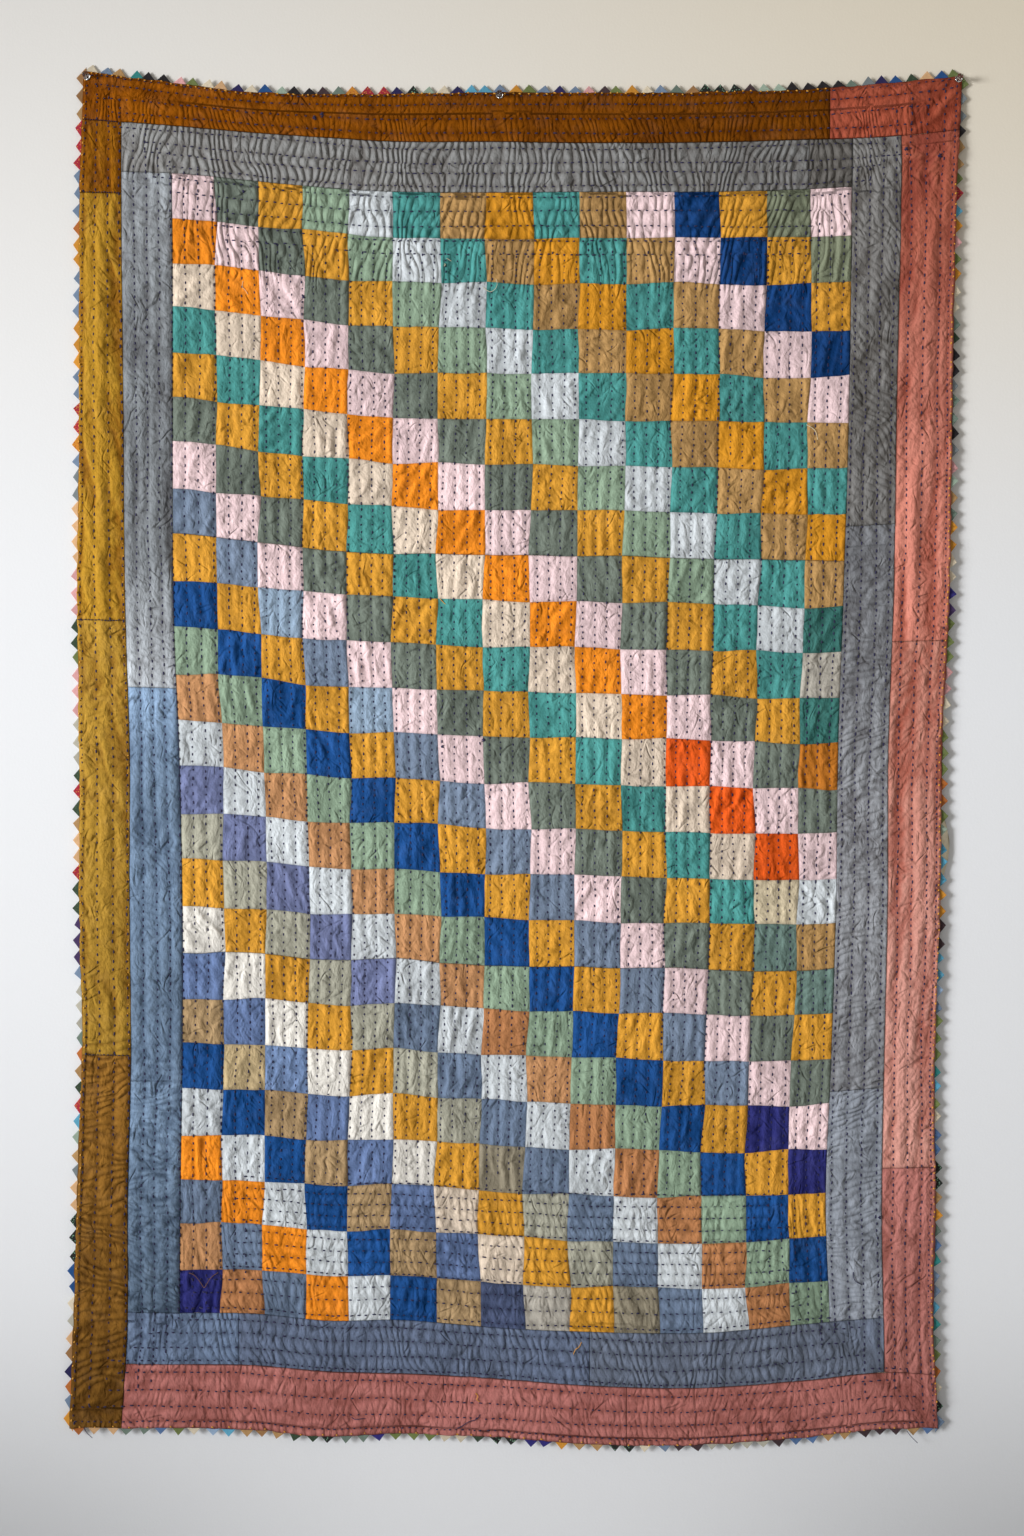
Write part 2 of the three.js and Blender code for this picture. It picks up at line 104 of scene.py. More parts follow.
# How the cloth stands off the wall.
PINNED_STAND_OFF = 1.5
LOWER_STAND_OFF = 2.5
HANG_LENGTH = 2060
PIN_REACH = 230
WAVES = (
    # height  across  slant  phase
    (0.8, 610, 0.05, 0.15),
    (0.6, 330, -0.09, 0.4),
)
FOLDS = (
    # from x, z      to x, z       half width  height
    (653, -150, 645, -480, 13, 3.6),
    (645, -480, 616, -700, 14, 3.2),
    (672, -120, 668, -520, 11, -1.8),
    (634, -1030, 640, -1290, 13, 3),
    (606, -900, 612, -1330, 12, -2),
    (612, -1340, 600, -1790, 15, 2.4),
    (-606, -130, -604, -560, 13, 3.8),
    (-603, -520, -601, -900, 14, 3.4),
    (-606, -860, -600, -1500, 15, 3),
    (-583, -180, -581, -900, 8, -2),
    (672, 2, 560, -140, 16, 2.4),
    (676, -30, 610, -210, 14, -2),
    (-600, 10, -470, -150, 18, 2.2),
    (-120, -2020, 40, -1960, 20, 2),
    (420, -1960, 600, -1990, 22, 2.6),
)
PINS = {"left": (-626, 28), "middle": (0, 0), "right": (696, 25)}

# Layers, as distances in front of the back of the quilt.
BACKING_RIM = 1.2
BACKING_MIDDLE = 2.5
POINT_BACK = 1.5
TOP_BACK = 2.8
TOP_FRONT = 5.0
SEAM_GAP = 0.3
THINNEST = 0.25

# The grips of the pins press the cloth in round them.
PRESSED_REACH = 9
PRESSED_DEPTH = 0.3

# Patches
COLUMNS = 15
ROWS = 25
PATCH_SIZE = 68
ROW_BANDS = (("upper", 0, 8), ("middle", 8, 17), ("lower", 17, 25))

# Colours of dyed cloth
DYES = {
    "ochre": "#d79a36",
    "deep_ochre": "#d39025",
    "orange": "#f49024",
    "vermilion": "#e45b1a",
    "pink": "#f0d4d7",
    "cream": "#e3d1bd",
    "white": "#ebe7df",
    "teal": "#4b9490",
    "dark_teal": "#39706a",
    "grey_green": "#6f796f",
    "light_green": "#8da48d",
    "sage": "#a9a898",
    "ice": "#ced5da",
    "khaki_brown": "#b58e59",
    "dark_brown": "#b76f22",
    "tan": "#c59063",
    "red_tan": "#b77d51",
    "blue_grey": "#77879e",
    "denim": "#667ba6",
    "royal": "#174c8c",
    "navy": "#0a3c76",
    "indigo": "#2a2d72",
    "periwinkle": "#767fa8",
    "slate": "#6b7c95",
    "beige_grey": "#aea99f",
    "olive_beige": "#cdbfa2",
    "dusty_teal": "#688079",
    "khaki": "#ad916b",
    "pale_khaki": "#c6b087",
    "moss": "#79806a",
    "ink": "#475271",
    "pale_blue": "#93a9c0",
    "sky_blue": "#758db6",
    "taupe": "#8e8673",
}

# The patches run in diagonals of one dye. The first is the top right corner patch.
DIAGONALS = (
    "pink sage ochre navy pink khaki_brown teal deep_ochre khaki_brown teal ice light_green ochre "
    "grey_green pink orange cream teal ochre grey_green pink blue_grey ochre royal light_green tan "
    "ice periwinkle sage ochre cream denim khaki royal ice orange slate tan indigo"
).split()

# Scraps of another dye: the dye, the row and column of the first, and how many there are down the
# diagonal from it.
OTHER_SCRAPS = (
    ("moss", 0, 13, 2),
    ("pale_blue", 9, 2, 1),
    ("teal", 9, 12, 2),
    ("dark_teal", 9, 14, 1),
    ("beige_grey", 10, 14, 1),
    ("pale_blue", 11, 4, 1),
    ("dark_teal", 11, 14, 1),
    ("vermilion", 12, 11, 3),
    ("dark_brown", 12, 14, 1),
    ("olive_beige", 15, 13, 1),
    ("ice", 15, 14, 1),
    ("white", 16, 0, 6),
    ("dusty_teal", 16, 13, 2),
    ("khaki_brown", 16, 14, 1),
    ("slate", 18, 5, 7),
    ("red_tan", 18, 7, 1),
    ("pale_khaki", 19, 1, 1),
    ("sky_blue", 19, 2, 1),
    ("red_tan", 20, 9, 5),
    ("indigo", 20, 13, 2),
    ("taupe", 21, 7, 1),
    ("red_tan", 24, 1, 1),
    ("ink", 24, 7, 1),
    ("beige_grey", 24, 8, 1),
    ("taupe", 24, 10, 1),
)
SCRAP_DYES = {
    (row + step, column + step): dye
    for dye, row, column, count in OTHER_SCRAPS
    for step in range(count)
}

# Border strips: bounds in pattern numbers, the dye in its valleys, darkened as painted shade, and the dye
# where it has faded, with painted highlight.
INNER_STRIPS = (
    # name  from across  to across  from down  to down  deep  faded
    ("inner_top_long", 1, 2.9369, 1, 2, "#6e6b69", "#939494"),
    ("inner_top_end", 2.9369, 3, 1, 2, "#56534f", "#767370"),
    ("inner_left_upper", 1, 2, 2, 2.452, "#6e7074", "#9ca2a8"),
    ("inner_left_lower", 1, 2, 2.452, 3, "#4e5f75", "#748aa4"),
    ("inner_right_upper", 3, 4, 1, 2.291, "#5f5c59", "#838281"),
    ("inner_right_middle", 3, 4, 2.291, 2.7897, "#6c6c70", "#93969c"),
    ("inner_right_lower", 3, 4, 2.7897, 3, "#727780", "#9ea5b1"),
    ("inner_bottom_left", 1, 2.0912, 3, 4, "#56647c", "#7284a1"),
    ("inner_bottom_middle", 2.0912, 2.6306, 3, 4, "#4e576a", "#6b7892"),
    ("inner_bottom_right", 2.6306, 4, 3, 4, "#59606e", "#7a859a"),
)
OUTER_STRIPS = (
    # name  from across  to across  from down  to down  deep  faded
    ("outer_top_ochre", 0, 2.967, 0, 1, "#683603", "#8c4e06"),
    ("outer_top_rose", 2.967, 5, 0, 1, "#873c2a", "#b05841"),
    ("outer_left_short", 0, 1, 1, 2.0194, "#6e3d08", "#9c6310"),
    ("outer_left_mustard", 0, 1, 2.0194, 2.394, "#8d5f19", "#b88b2d"),
    ("outer_left_ochre", 0, 1, 2.394, 2.7753, "#815b1d", "#ae8734"),
    ("outer_left_brown", 0, 1, 2.7753, 5, "#664419", "#906529"),
    ("outer_right_upper", 4, 5, 1, 2.394, "#995243", "#c47c6c"),
    ("outer_right_middle", 4, 5, 2.394, 2.862, "#b06c5f", "#d69a8d"),
    ("outer_right_lower", 4, 5, 2.862, 4, "#8f544b", "#bf7c74"),
    ("outer_bottom_left", 1, 2.6878, 4, 5, "#8e524b", "#ba7670"),
    ("outer_bottom_right", 2.6878, 5, 4, 5, "#8c514a", "#b5726b"),
)

# How light or dark a strip's colour is made, in even steps along its length.
SHADES = {
    "inner_top_long": (1.05, 1.05, 1, 0.92, 0.92, 0.88, 0.8),
    "inner_top_end": (0.88, 0.88),
    "inner_left_upper": (1.25, 0.8, 0.68, 0.7, 1.85),
    "inner_left_lower": (1.8, 0.95, 1.12, 0.88, 1.25, 0.85, 0.66),
    "inner_right_upper": (1.1, 0.95, 0.9),
    "inner_right_middle": (0.72, 0.8, 0.95, 1.15, 1.2, 1.05, 0.95),
    "inner_bottom_right": (0.88, 0.85, 0.95),
    "outer_top_ochre": (1.2, 1.25, 1.05, 0.92, 0.9, 0.78, 0.72),
    "outer_left_ochre": (1.15, 1.1, 1, 0.95, 0.9),
    "outer_left_brown": (1.15, 0.95, 0.8),
    "outer_right_upper": (0.98, 0.98, 1.05, 1.22, 1.22),
    "outer_right_lower": (1.08, 0.85),
}

# Strips that start in the dye of the strip before them: its deep and faded dye, and how far it reaches.
FIRST_DYES = {
    "outer_right_upper": ("#94483a", "#b0604c", 0.6),
    "outer_right_middle": ("#a25747", "#c88878", 0.8),
}

# Ripples where a strip or a row of patches was eased in by its stitches.
RIPPLES = (
    # from across, to   from down, to   runs  apart  height  lean
    (1, 3, 1, 2, "upright", 10.5, 1.9, 0.08),
    (3, 4, 1, 2, "upright", 11, 1.3, -0.3),
    (0.4, 4.4, 0.42, 1, "upright", 8.5, 0.8, -0.1),
    (0.8, 4.2, 0.05, 0.42, "upright", 10, 0.45, 0.3),
    (2, 3, 2, 2.085, "upright", 12.5, 1.5, 0.15),
    (2, 3, 2.88, 3, "upright", 13, 0.55, -0.1),
    (1, 4, 3, 4, "upright", 13, 0.95, -0.15),
    (0.6, 4.6, 4, 4.95, "upright", 12, 0.55, 0.1),
    (3, 4, 2.32, 3, "level", 12, 0.9, 0.2),
    (3, 4, 2, 2.3, "level", 17, 0.8, -0.9),
    (1, 2, 2, 2.8, "level", 16, 0.45, -0.2),
    (1, 2, 2.8, 3.2, "level", 10, 0.8, -0.1),
    (4, 4.9, 1.2, 4, "level", 19, 0.35, 1.2),
    (0.1, 1, 1.2, 2.72, "level", 15, 0.35, 0.2),
    (0.1, 1, 2.75, 4.7, "level", 13.5, 1.5, 0.1),
    (0.3, 4.8, 4.86, 5.2, "upright", 11, 1.0, 0),
)

# Creases that only the top cloth has, as soft ridges and troughs.
CREASES = (
    # from x, z      to x, z       half width  height
    (694, 12, 656, -32, 3.2, 1.9),
    (701, -2, 664, -44, 3.6, -1.4),
    (506, -48, 588, -9, 3.8, 1.2),
    (501, -35, 549, -14, 3.6, 1.0),
    (617, 12, 621, -66, 3.8, 1.5),
    (612, -60, 656, -21, 3.4, -1.4),
    (612, -95, 667, -89, 3.4, 1.5),
    (615, -101, 664, -95, 3.2, -1.2),
    (615, -129, 668, -108, 3.6, 1.3),
    (540, -127, 606, -97, 3.4, -1.6),
    (545, -152, 600, -118, 3.6, 1.0),
    (-567, 0, -546, -28, 3.2, 1.4),
    (-540, -34, -519, -6, 3.2, 1.3),
    (-546, 8, -478, -12, 6, -1.6),
    (-533, -98, -515, -120, 3.2, -1.6),
    (-445, -112, -425, -77, 3.2, 1.3),
    (624, -560, 632, -860, 7, 3.0),
    (648, -600, 650, -820, 8, -2.0),
    (612, -720, 615, -870, 4, -1.4),
    (-497, -560, -500, -730, 7, -2.4),
    (-521, -560, -524, -730, 8, 1.8),
    (-556, -420, -540, -560, 5, 1.6),
    (-640, -500, -612, -640, 5, -1.8),
    (-625, -620, -598, -760, 4.5, 1.7),
    (-650, -340, -628, -440, 5, -1.6),
    (-640, -930, -615, -1060, 5, 1.6),
    (640, -330, 600, -420, 5, 1.8),
    (636, -250, 604, -300, 5, -1.8),
    (540, -420, 586, -360, 4, -1.6),
    (536, -640, 572, -590, 4, 1.6),
    (530, -1180, 560, -1140, 4, -1.5),
    (522, -907, 564, -901, 3.2, -1.8),
    (546, -894, 568, -874, 3.2, 1.3),
    (-120, -784, -93, -823, 3, 1.4),
    (-116, -790, -89, -829, 3, -1.1),
    (-131, -690, -108, -640, 3.2, 1.3),
    (-150, -640, -133, -688, 3.2, 1.2),
    (-205, -818, -190, -870, 3.2, 1.2),
    (-106, -1085, -75, -1050, 3.4, -1.8),
    (252, -628, 292, -634, 3.2, -1.4),
    (388, -626, 496, -632, 3.2, -1.2),
    (-611, -1932, -573, -1918, 3.6, -2),
    (-648, -1989, -576, -1992, 3.2, -1.9),
    (-563, -1961, -532, -1948, 3, -1.8),
    (-435, -1971, -411, -1951, 3.2, 1.5),
    (-600, -1640, -585, -1700, 4, 1.4),
    (-478, -1385, -452, -1420, 3.4, 1.4),
    (-412, -1260, -385, -1228, 3.4, 1.3),
    (330, -1215, 352, -1180, 3.4, 1.3),
    (132, -1392, 158, -1428, 3.4, 1.4),
)

# Soft wrinkles dragged across the cloth.
DRAGS = (
    # degrees above the level  apart  length  height
    (58, 17, 60, 0.8),
    (-52, 16, 50, 0.7),
    (88, 15, 90, 0.75),
)

# Wrinkles of some of the strips, between numbers of the pattern.
STRIP_DRAGS = (
    # from across, to   from down, to   degrees  apart  length  height
    (0, 1, 1, 2.76, -72, 13, 55, 1.1),
    (1, 2, 1, 2.4, 78, 14, 40, 0.6),
    (1, 2, 2.78, 3.6, 12, 9.5, 15, 1.5),
    (4, 5, 1, 4, 80, 20, 110, 1.0),
    (3, 4, 2, 2.6, 52, 13, 36, 1.0),
    (3, 5, 0, 1, 30, 17, 70, 0.9),
    (1, 3, 4, 5, 8, 12, 20, 0.7),
)

# Each patch wrinkles in its own way.
WRINKLES = np.random.default_rng(21)
WRINKLE_ANGLE = 88 + 22 * WRINKLES.normal(0, 1, (COLUMNS, ROWS)).clip(-2.2, 2.2)
WRINKLE_ANGLE[9:, :12] -= 22
SMALL_ANGLE = WRINKLES.uniform(20, 160, (COLUMNS, ROWS))
WRINKLE_HEIGHT = WRINKLES.uniform(0.55, 1.3, (COLUMNS, ROWS)) ** 2

# The wrinkles inside a patch: height, length and how far apart
MAIN_WRINKLES = (1.35, 42, 12.5)
SMALL_WRINKLES = (0.7, 18, 8.5)

# Rows of stitches run round the quilt in rings, and straight down inside them. How far each ring lies
# in from the edge:
RINGS = np.array([
    # left  top  right  bottom
    (6, 4.5, 8, 10),
    (27, 18, 23, 30),
    (50, 39, 46, 52),
    (71, 61, 68, 76),
    (94, 85, 91, 94),
    (113, 108, 112, 115),
    (132, 123, 134, 137),
    (151, 144, 155, 157),
    (171, 161, 173, 175),
    (191, 182, 192, 198),
    (213, 205, 210, 219),
    (235, 226, 230, 239),
    (254, 246, 249, 257),
])
GOLD_RING = (2.6, 2.2, 3.2, 3)
ROW_SPACING = 17.4
ROW_WOBBLE = 2.2
FINE_WOBBLE = 0.7

# More rows of stitches run level above the innermost ring's bottom row.
LEVEL_ROWS = 7
LEVEL_SPACING = 17


def length_property(name, description, default, low, high):
    """A length, given in mm and kept in metres."""
    return FloatProperty(
        name=name, description=description, default=default * MM, min=low * MM, max=high * MM,
        subtype="DISTANCE", unit="LENGTH")


def colour_property(name, description, default):
    return FloatVectorProperty(
        name=name, description=description, default=default, size=3, min=0, max=1, subtype="COLOR_GAMMA")


class QuiltSizes(bpy.types.PropertyGroup):
    """Sizes of the cloth's relief, its mesh and its stitches"""

    puff: length_property("Puff", "How high the cloth stands between two rows of stitches", 2.1, 0, 4)
    seam_depth: length_property(
        "Seam depth", "How far the cloth sinks where two pieces are sewn together", 1.1, 0, 2)
    patch_cells: IntProperty(
        name="Cells in a patch", description="Mesh cells along one side of a patch, in threes",
        default=21, min=6, max=24)
    strip_cell: length_property("Strip cell", "Size of a mesh cell in the border strips", 3.1, 2, 12)
    backing_cell: length_property("Backing cell", "Size of a mesh cell in the backing", 11, 4, 20)
    stitch_length: length_property("Stitch length", "How much of a running stitch shows", 5.4, 2, 12)
    level_pitch: length_property(
        "Level pitch", "From one stitch to the next in a level row", 11.3, 6, 30)
    upright_pitch: length_property(
        "Upright pitch", "From one stitch to the next in an upright row", 10.6, 6, 30)
    thread: length_property("Thread", "Width of the doubled sewing thread", 2.5, 0.4, 4)


class QuiltColours(bpy.types.PropertyGroup):
    """Colours of the threads, the backing and the wall"""

    thread: colour_property("Thread", "Colour of the quilting thread", (0.09, 0.07, 0.27))
    gold: colour_property("Gold thread", "Colour of the thread along the edge", (0.88, 0.62, 0.16))
    backing: colour_property("Backing", "Colour of the backing cloth", (0.86, 0.82, 0.72))
    wall: colour_property("Wall", "Colour of the wall", (0.915, 0.925, 0.94))


class StudioSettings(bpy.types.PropertyGroup):
    """Camera and lamps"""

    distance: length_property("Camera distance", "From the camera to the wall", 3350, 1000, 10000)
    view_height: length_property("View height", "Height of wall that the camera sees", 2334, 500, 6000)
    key: FloatProperty(
        name="Key lamp", description="Power of the soft lamp at the left",
        default=39.7, min=0, max=400, subtype="POWER", unit="POWER")
    sky: FloatProperty(
        name="Surroundings", description="Strength of the light from all round", default=0.38, min=0, max=3)


def size_of(name):
    """One of the quilt's sizes, in mm."""
    return getattr(bpy.context.scene.quilt_sizes, name) / MM


def colours():
    """The colours that the sidebar's panel offers."""
    return bpy.context.scene.quilt_colours


# ---- where the cloth hangs ----

def follow(table, column, key):
    """A smooth curve through one column of a table whose first column is the key."""
    keys = table[:, 0]
    values = table[:, column]
    slopes = np.empty(len(keys))
    slopes[1:-1] = (values[2:] - values[:-2]) / (keys[2:] - keys[:-2])
    slopes[0] = (values[1] - values[0]) / (keys[1] - keys[0])
    slopes[-1] = (values[-1] - values[-2]) / (keys[-1] - keys[-2])
    at = np.clip(key, keys[0], keys[-1])
    i = np.clip(np.searchsorted(keys, at, side="right") - 1, 0, len(keys) - 2)
    span = keys[i + 1] - keys[i]
    t = (at - keys[i]) / span
    rise = t * t * (3 - 2 * t)
    ends = t * (1 - t) ** 2 * slopes[i] - t * t * (1 - t) * slopes[i + 1]
    return values[i] * (1 - rise) + values[i + 1] * rise + ends * span


def between(table, number, key):
    """The value of a pattern number between the lines of the table on either side of it."""
    lines = np.array([follow(table, column, key) for column in range(1, 7)])
    line = np.clip(np.floor(number), 0, 4).astype(int)
    part = number - line
    spot = np.arange(line.size).reshape(line.shape)
    flat = lines.reshape(6, -1)
    return flat[line, spot] * (1 - part) + flat[line + 1, spot] * part


def field_drop(across, down):
    u = np.clip((across - 2 - FIELD_DROP_FROM) / (1 - FIELD_DROP_FROM), 0, 1)
    v = np.clip(down - 2, 0, 1)
    return FIELD_RIGHT_DROP * u * u * (3 - 2 * u) * np.abs(np.sin(math.pi * v)) ** FIELD_DROP_POWER


def place(across, down):
    """Where a place of the pattern hangs: x and z."""
    across, down = np.broadcast_arrays(np.asarray(across, float), np.asarray(down, float))
    x = np.zeros(across.shape)
    z = -HANG_LENGTH * down / 5
    for _ in range(4):
        x = between(LENGTHWISE, across, -z)
        z = between(CROSSWISE, down, x) - field_drop(across, down)
    return x + rolled_edge(across, z, 41), z + rolled_edge(down, x, 43)


# The hand-rolled hem strays by these heights over these lengths, and the cloth inside it less and less
# within a reach in pattern numbers.
HEM_STRAYS = ((0.8, 8), (0.7, 27))
HEM_REACH = 0.11


def rolled_edge(number, key, salt):
    """How far the hem strays along the two edges where a pattern number starts and ends."""
    stray = sum(
        height * noise(key / length, key * 0, salt + n) for n, (height, length) in enumerate(HEM_STRAYS))
    return stray * (np.exp(-number / HEM_REACH) + np.exp((number - 5) / HEM_REACH))


def fold_height(fold, x, z):
    """How high a fold stands: a soft ridge that fades out at both ends."""
    x0, z0, x1, z1, half_width, height = fold
    length = math.hypot(x1 - x0, z1 - z0)
    t = ((x - x0) * (x1 - x0) + (z - z0) * (z1 - z0)) / length ** 2
    away = ((x - x0) * (z1 - z0) - (z - z0) * (x1 - x0)) / length
    return np.maximum(0, 1 - (2 * t - 1) ** 4) * height * np.exp(-((away / half_width) ** 2) / 2)


def stand_off(x, z):
    """How far the back of the quilt stands off the wall."""
    nearest = np.full(np.shape(x), float(PIN_REACH))
    for pin_x, pin_z in PINS.values():
        nearest = np.minimum(nearest, np.hypot(x - pin_x, z - pin_z))
    free = nearest / PIN_REACH
    off = PINNED_STAND_OFF + LOWER_STAND_OFF * np.sqrt(np.clip(-z / HANG_LENGTH, 0, 1)) + free
    for height, across, slant, phase in WAVES:
        off = off + free * height * (1 + np.sin(2 * math.pi * ((x + slant * z) / across + phase)))
    for fold in FOLDS:
        off = off + free * fold_height(fold, x, z)
    return np.maximum(off, PINNED_STAND_OFF)


def flat_from_pattern(across, down):
    return np.interp(across, range(6), FLAT_ACROSS), np.interp(down, range(6), FLAT_DOWN)


def pattern_from_flat(u, v):
    return np.interp(u, FLAT_ACROSS, range(6)), np.interp(v, FLAT_DOWN, range(6))


# ---- relief of the cloth ----

NOISE_SIZE = 256
NOISE_TABLE = np.random.default_rng(7).random((NOISE_SIZE, NOISE_SIZE)) * 2 - 1


def noise(x, y, salt=0):
    """Smooth noise from -1 to 1 with one value for each whole x and y."""
    i = np.floor(x).astype(int)
    j = np.floor(y).astype(int)
    fx = x - i
    fy = y - j
    fx = fx * fx * (3 - 2 * fx)
    fy = fy * fy * (3 - 2 * fy)
    i = i + 37 * salt
    j = j + 91 * salt

    def at(di, dj):
        return NOISE_TABLE[(i + di) % NOISE_SIZE, (j + dj) % NOISE_SIZE]

    near = at(0, 0) * (1 - fx) + at(1, 0) * fx
    far = at(0, 1) * (1 - fx) + at(1, 1) * fx
    return near * (1 - fy) + far * fy


def smooth(low, high, value):
    t = np.clip((value - low) / (high - low), 0, 1)
    return t * t * (3 - 2 * t)


def wobble(u, v):
    """How far the rows of stitches stray from their places on the flat quilt."""
    return (
        ROW_WOBBLE * noise(u / 40, v / 110, 1) + FINE_WOBBLE * noise(u / 9, v / 23, 2),
        ROW_WOBBLE * noise(u / 110, v / 40, 3) + FINE_WOBBLE * noise(u / 23, v / 9, 4),
    )


PATCH_WIDTH = (FLAT_ACROSS[3] - FLAT_ACROSS[2]) / COLUMNS
PATCH_LENGTH = (FLAT_DOWN[3] - FLAT_DOWN[2]) / ROWS

# How far the seams of the field stray. Its columns drift across in one long wave, its rows sway in
# the columns at the left, and each patch is cut and sewn a little out of true.
COLUMN_DRIFT = -7.5
DRIFT_COLUMNS = 17.5
ROW_SWAY = -7
SWAY_COLUMNS = 5
UNEVEN_PATCHES = 2.4
UNEVEN_SEAMS = 0.9
SEAM_BENDS = 2.3


def field_place(column, row):
    """Where a place in the patches lies on the flat quilt. Whole numbers are the seams."""
    free_across = np.clip(np.minimum(column, COLUMNS - column), 0, 1)
    free_down = np.clip(np.minimum(row, ROWS - row), 0, 1)
    drift = COLUMN_DRIFT * np.sin(2 * math.pi * column / DRIFT_COLUMNS)
    sway = ROW_SWAY * np.sin(2 * math.pi * row / ROWS) * np.clip(1 - column / SWAY_COLUMNS, 0, 1)
    uneven_u, uneven_v = (
        UNEVEN_PATCHES * noise(column, row, salt)
        + UNEVEN_SEAMS * noise(column * SEAM_BENDS, row * SEAM_BENDS, salt + 1)
        for salt in (30, 32)
    )
    u = FLAT_ACROSS[2] + column * PATCH_WIDTH + free_across * (drift + uneven_u)
    v = FLAT_DOWN[2] + row * PATCH_LENGTH + free_down * (sway + uneven_v)
    return u, v


def patch_at(u, v):
    """The column and row of a place on the flat quilt, counted in patches."""
    column = (u - FLAT_ACROSS[2]) / PATCH_WIDTH
    row = (v - FLAT_DOWN[2]) / PATCH_LENGTH
    for _ in range(4):
        here_u, here_v = field_place(column, row)
        column = column + (u - here_u) / PATCH_WIDTH
        row = row + (v - here_v) / PATCH_LENGTH
    return column, row


# A seam is a narrow crease between two slopes.
SEAM_CREASE = 1.3
SEAM_SLOPE = 4
SLOPE_DEPTH = 0.25


def sunk(away):
    """How far cloth sinks at a distance from a seam in mm: 1 and a little more on it, and 0 far off."""
    return np.exp(-((away / SEAM_CREASE) ** 2)) + SLOPE_DEPTH * np.exp(-((away / SEAM_SLOPE) ** 2))


def seam_profile(number):
    """How far the cloth sinks beside a seam between patches, for places counted in patches."""
    return sunk(np.abs(number - np.round(number)) * PATCH_LENGTH)


def straight_rows():
    """Where the straight rows inside the rings stand on the flat quilt."""
    left = RINGS[-1, 0]
    inside = QUILT_WIDTH - RINGS[-1, 2] - left
    count = round(inside / ROW_SPACING)
    return left + inside / count * np.arange(count + 1)


def row_number(u, v):
    """Counts the rows of stitches from the edge to a place, with the part of the way to the next."""
    number = np.full(np.shape(u), np.inf)
    for column, inset in enumerate((u, v, QUILT_WIDTH - u, QUILT_LENGTH - v)):
        rows = (0, *RINGS[:, column])
        number = np.minimum(number, np.interp(inset, rows, range(len(rows))))
    rows = straight_rows()
    level = (QUILT_LENGTH - RINGS[-1, 3] - v) / LEVEL_SPACING
    inside = np.where(level < LEVEL_ROWS, level, np.interp(u, rows, range(len(rows))))
    return np.where(number < len(RINGS), number, inside)


def band(low, high, soft, value):
    """1 between low and high, fading over a width at both ends."""
    return smooth(low - soft, low + soft, value) * (1 - smooth(high - soft, high + soft, value))


def area(from_across, to_across, from_down, to_down, soft, across, down):
    """1 in an area of the pattern, fading over a width at its sides."""
    return band(from_across, to_across, soft, across) * band(from_down, to_down, soft, down)


def wrinkles(u, v, angle, length, apart, salt):
    """Wrinkles from about -1 to 1 that run at an angle in degrees above the level."""
    c = np.cos(np.radians(angle))
    s = np.sin(np.radians(angle))
    along = (u * c - v * s) / length
    over = (u * s + v * c) / apart
    over = over + 0.3 * noise(along * 1.3, over * 0.6, salt + 3)
    crease = np.abs(noise(along * 0.8, 1.7 * over, salt + 1))
    return 1.2 * noise(along, 2 * over, salt) + 1.5 * np.minimum(crease, 0.45) - 0.45


def patch_wrinkles(u, v):
    """Wrinkles of their own in each patch, which its seams stop."""
    main_height, main_length, main_apart = MAIN_WRINKLES
    small_height, small_length, small_apart = SMALL_WRINKLES
    column, row = patch_at(u, v)
    inside = (column >= 0) & (column <= COLUMNS) & (row >= 0) & (row <= ROWS)
    c = np.clip(column, 0, COLUMNS - 1e-6).astype(int)
    r = np.clip(row, 0, ROWS - 1e-6).astype(int)
    open_cloth = 1 - np.clip(np.maximum(seam_profile(column), seam_profile(row)), 0, 1)
    main = main_height * WRINKLE_HEIGHT[c, r] * wrinkles(
        u + 53 * c, v + 31 * r, WRINKLE_ANGLE[c, r], main_length, main_apart, 50)
    small = small_height * wrinkles(
        u + 17 * c, v + 71 * r, SMALL_ANGLE[c, r], small_length, small_apart, 60)
    return inside * open_cloth * (main + small)


CORNER_REACH = 30


def corner_of(u, v):
    """1 where the rows of two sides meet, and 0 away from there."""
    beside = np.minimum(u, QUILT_WIDTH - u)
    above = np.minimum(v, QUILT_LENGTH - v)
    in_rings = 1 - smooth(RINGS[-2].mean(), RINGS[-1].mean(), np.minimum(beside, above))
    return in_rings * np.exp(-(((beside - above) / CORNER_REACH) ** 2))


def row_place(across, down):
    """Where a place lies on the flat quilt, its row number, and its puff: 0 on a row, 1 between two."""
    u, v = flat_from_pattern(across, down)
    shift_u, shift_v = wobble(u, v)
    number = row_number(u + shift_u, v + shift_v)
    return u, v, number, np.abs(np.sin(math.pi * number)) ** 0.8


# How unevenly ripples run: by parts of a ripple, over lengths along and across them
RIPPLE_STRAYS = (
    (1.1, 34, 60, 7),
    (0.35, 13, 26, 8),
)


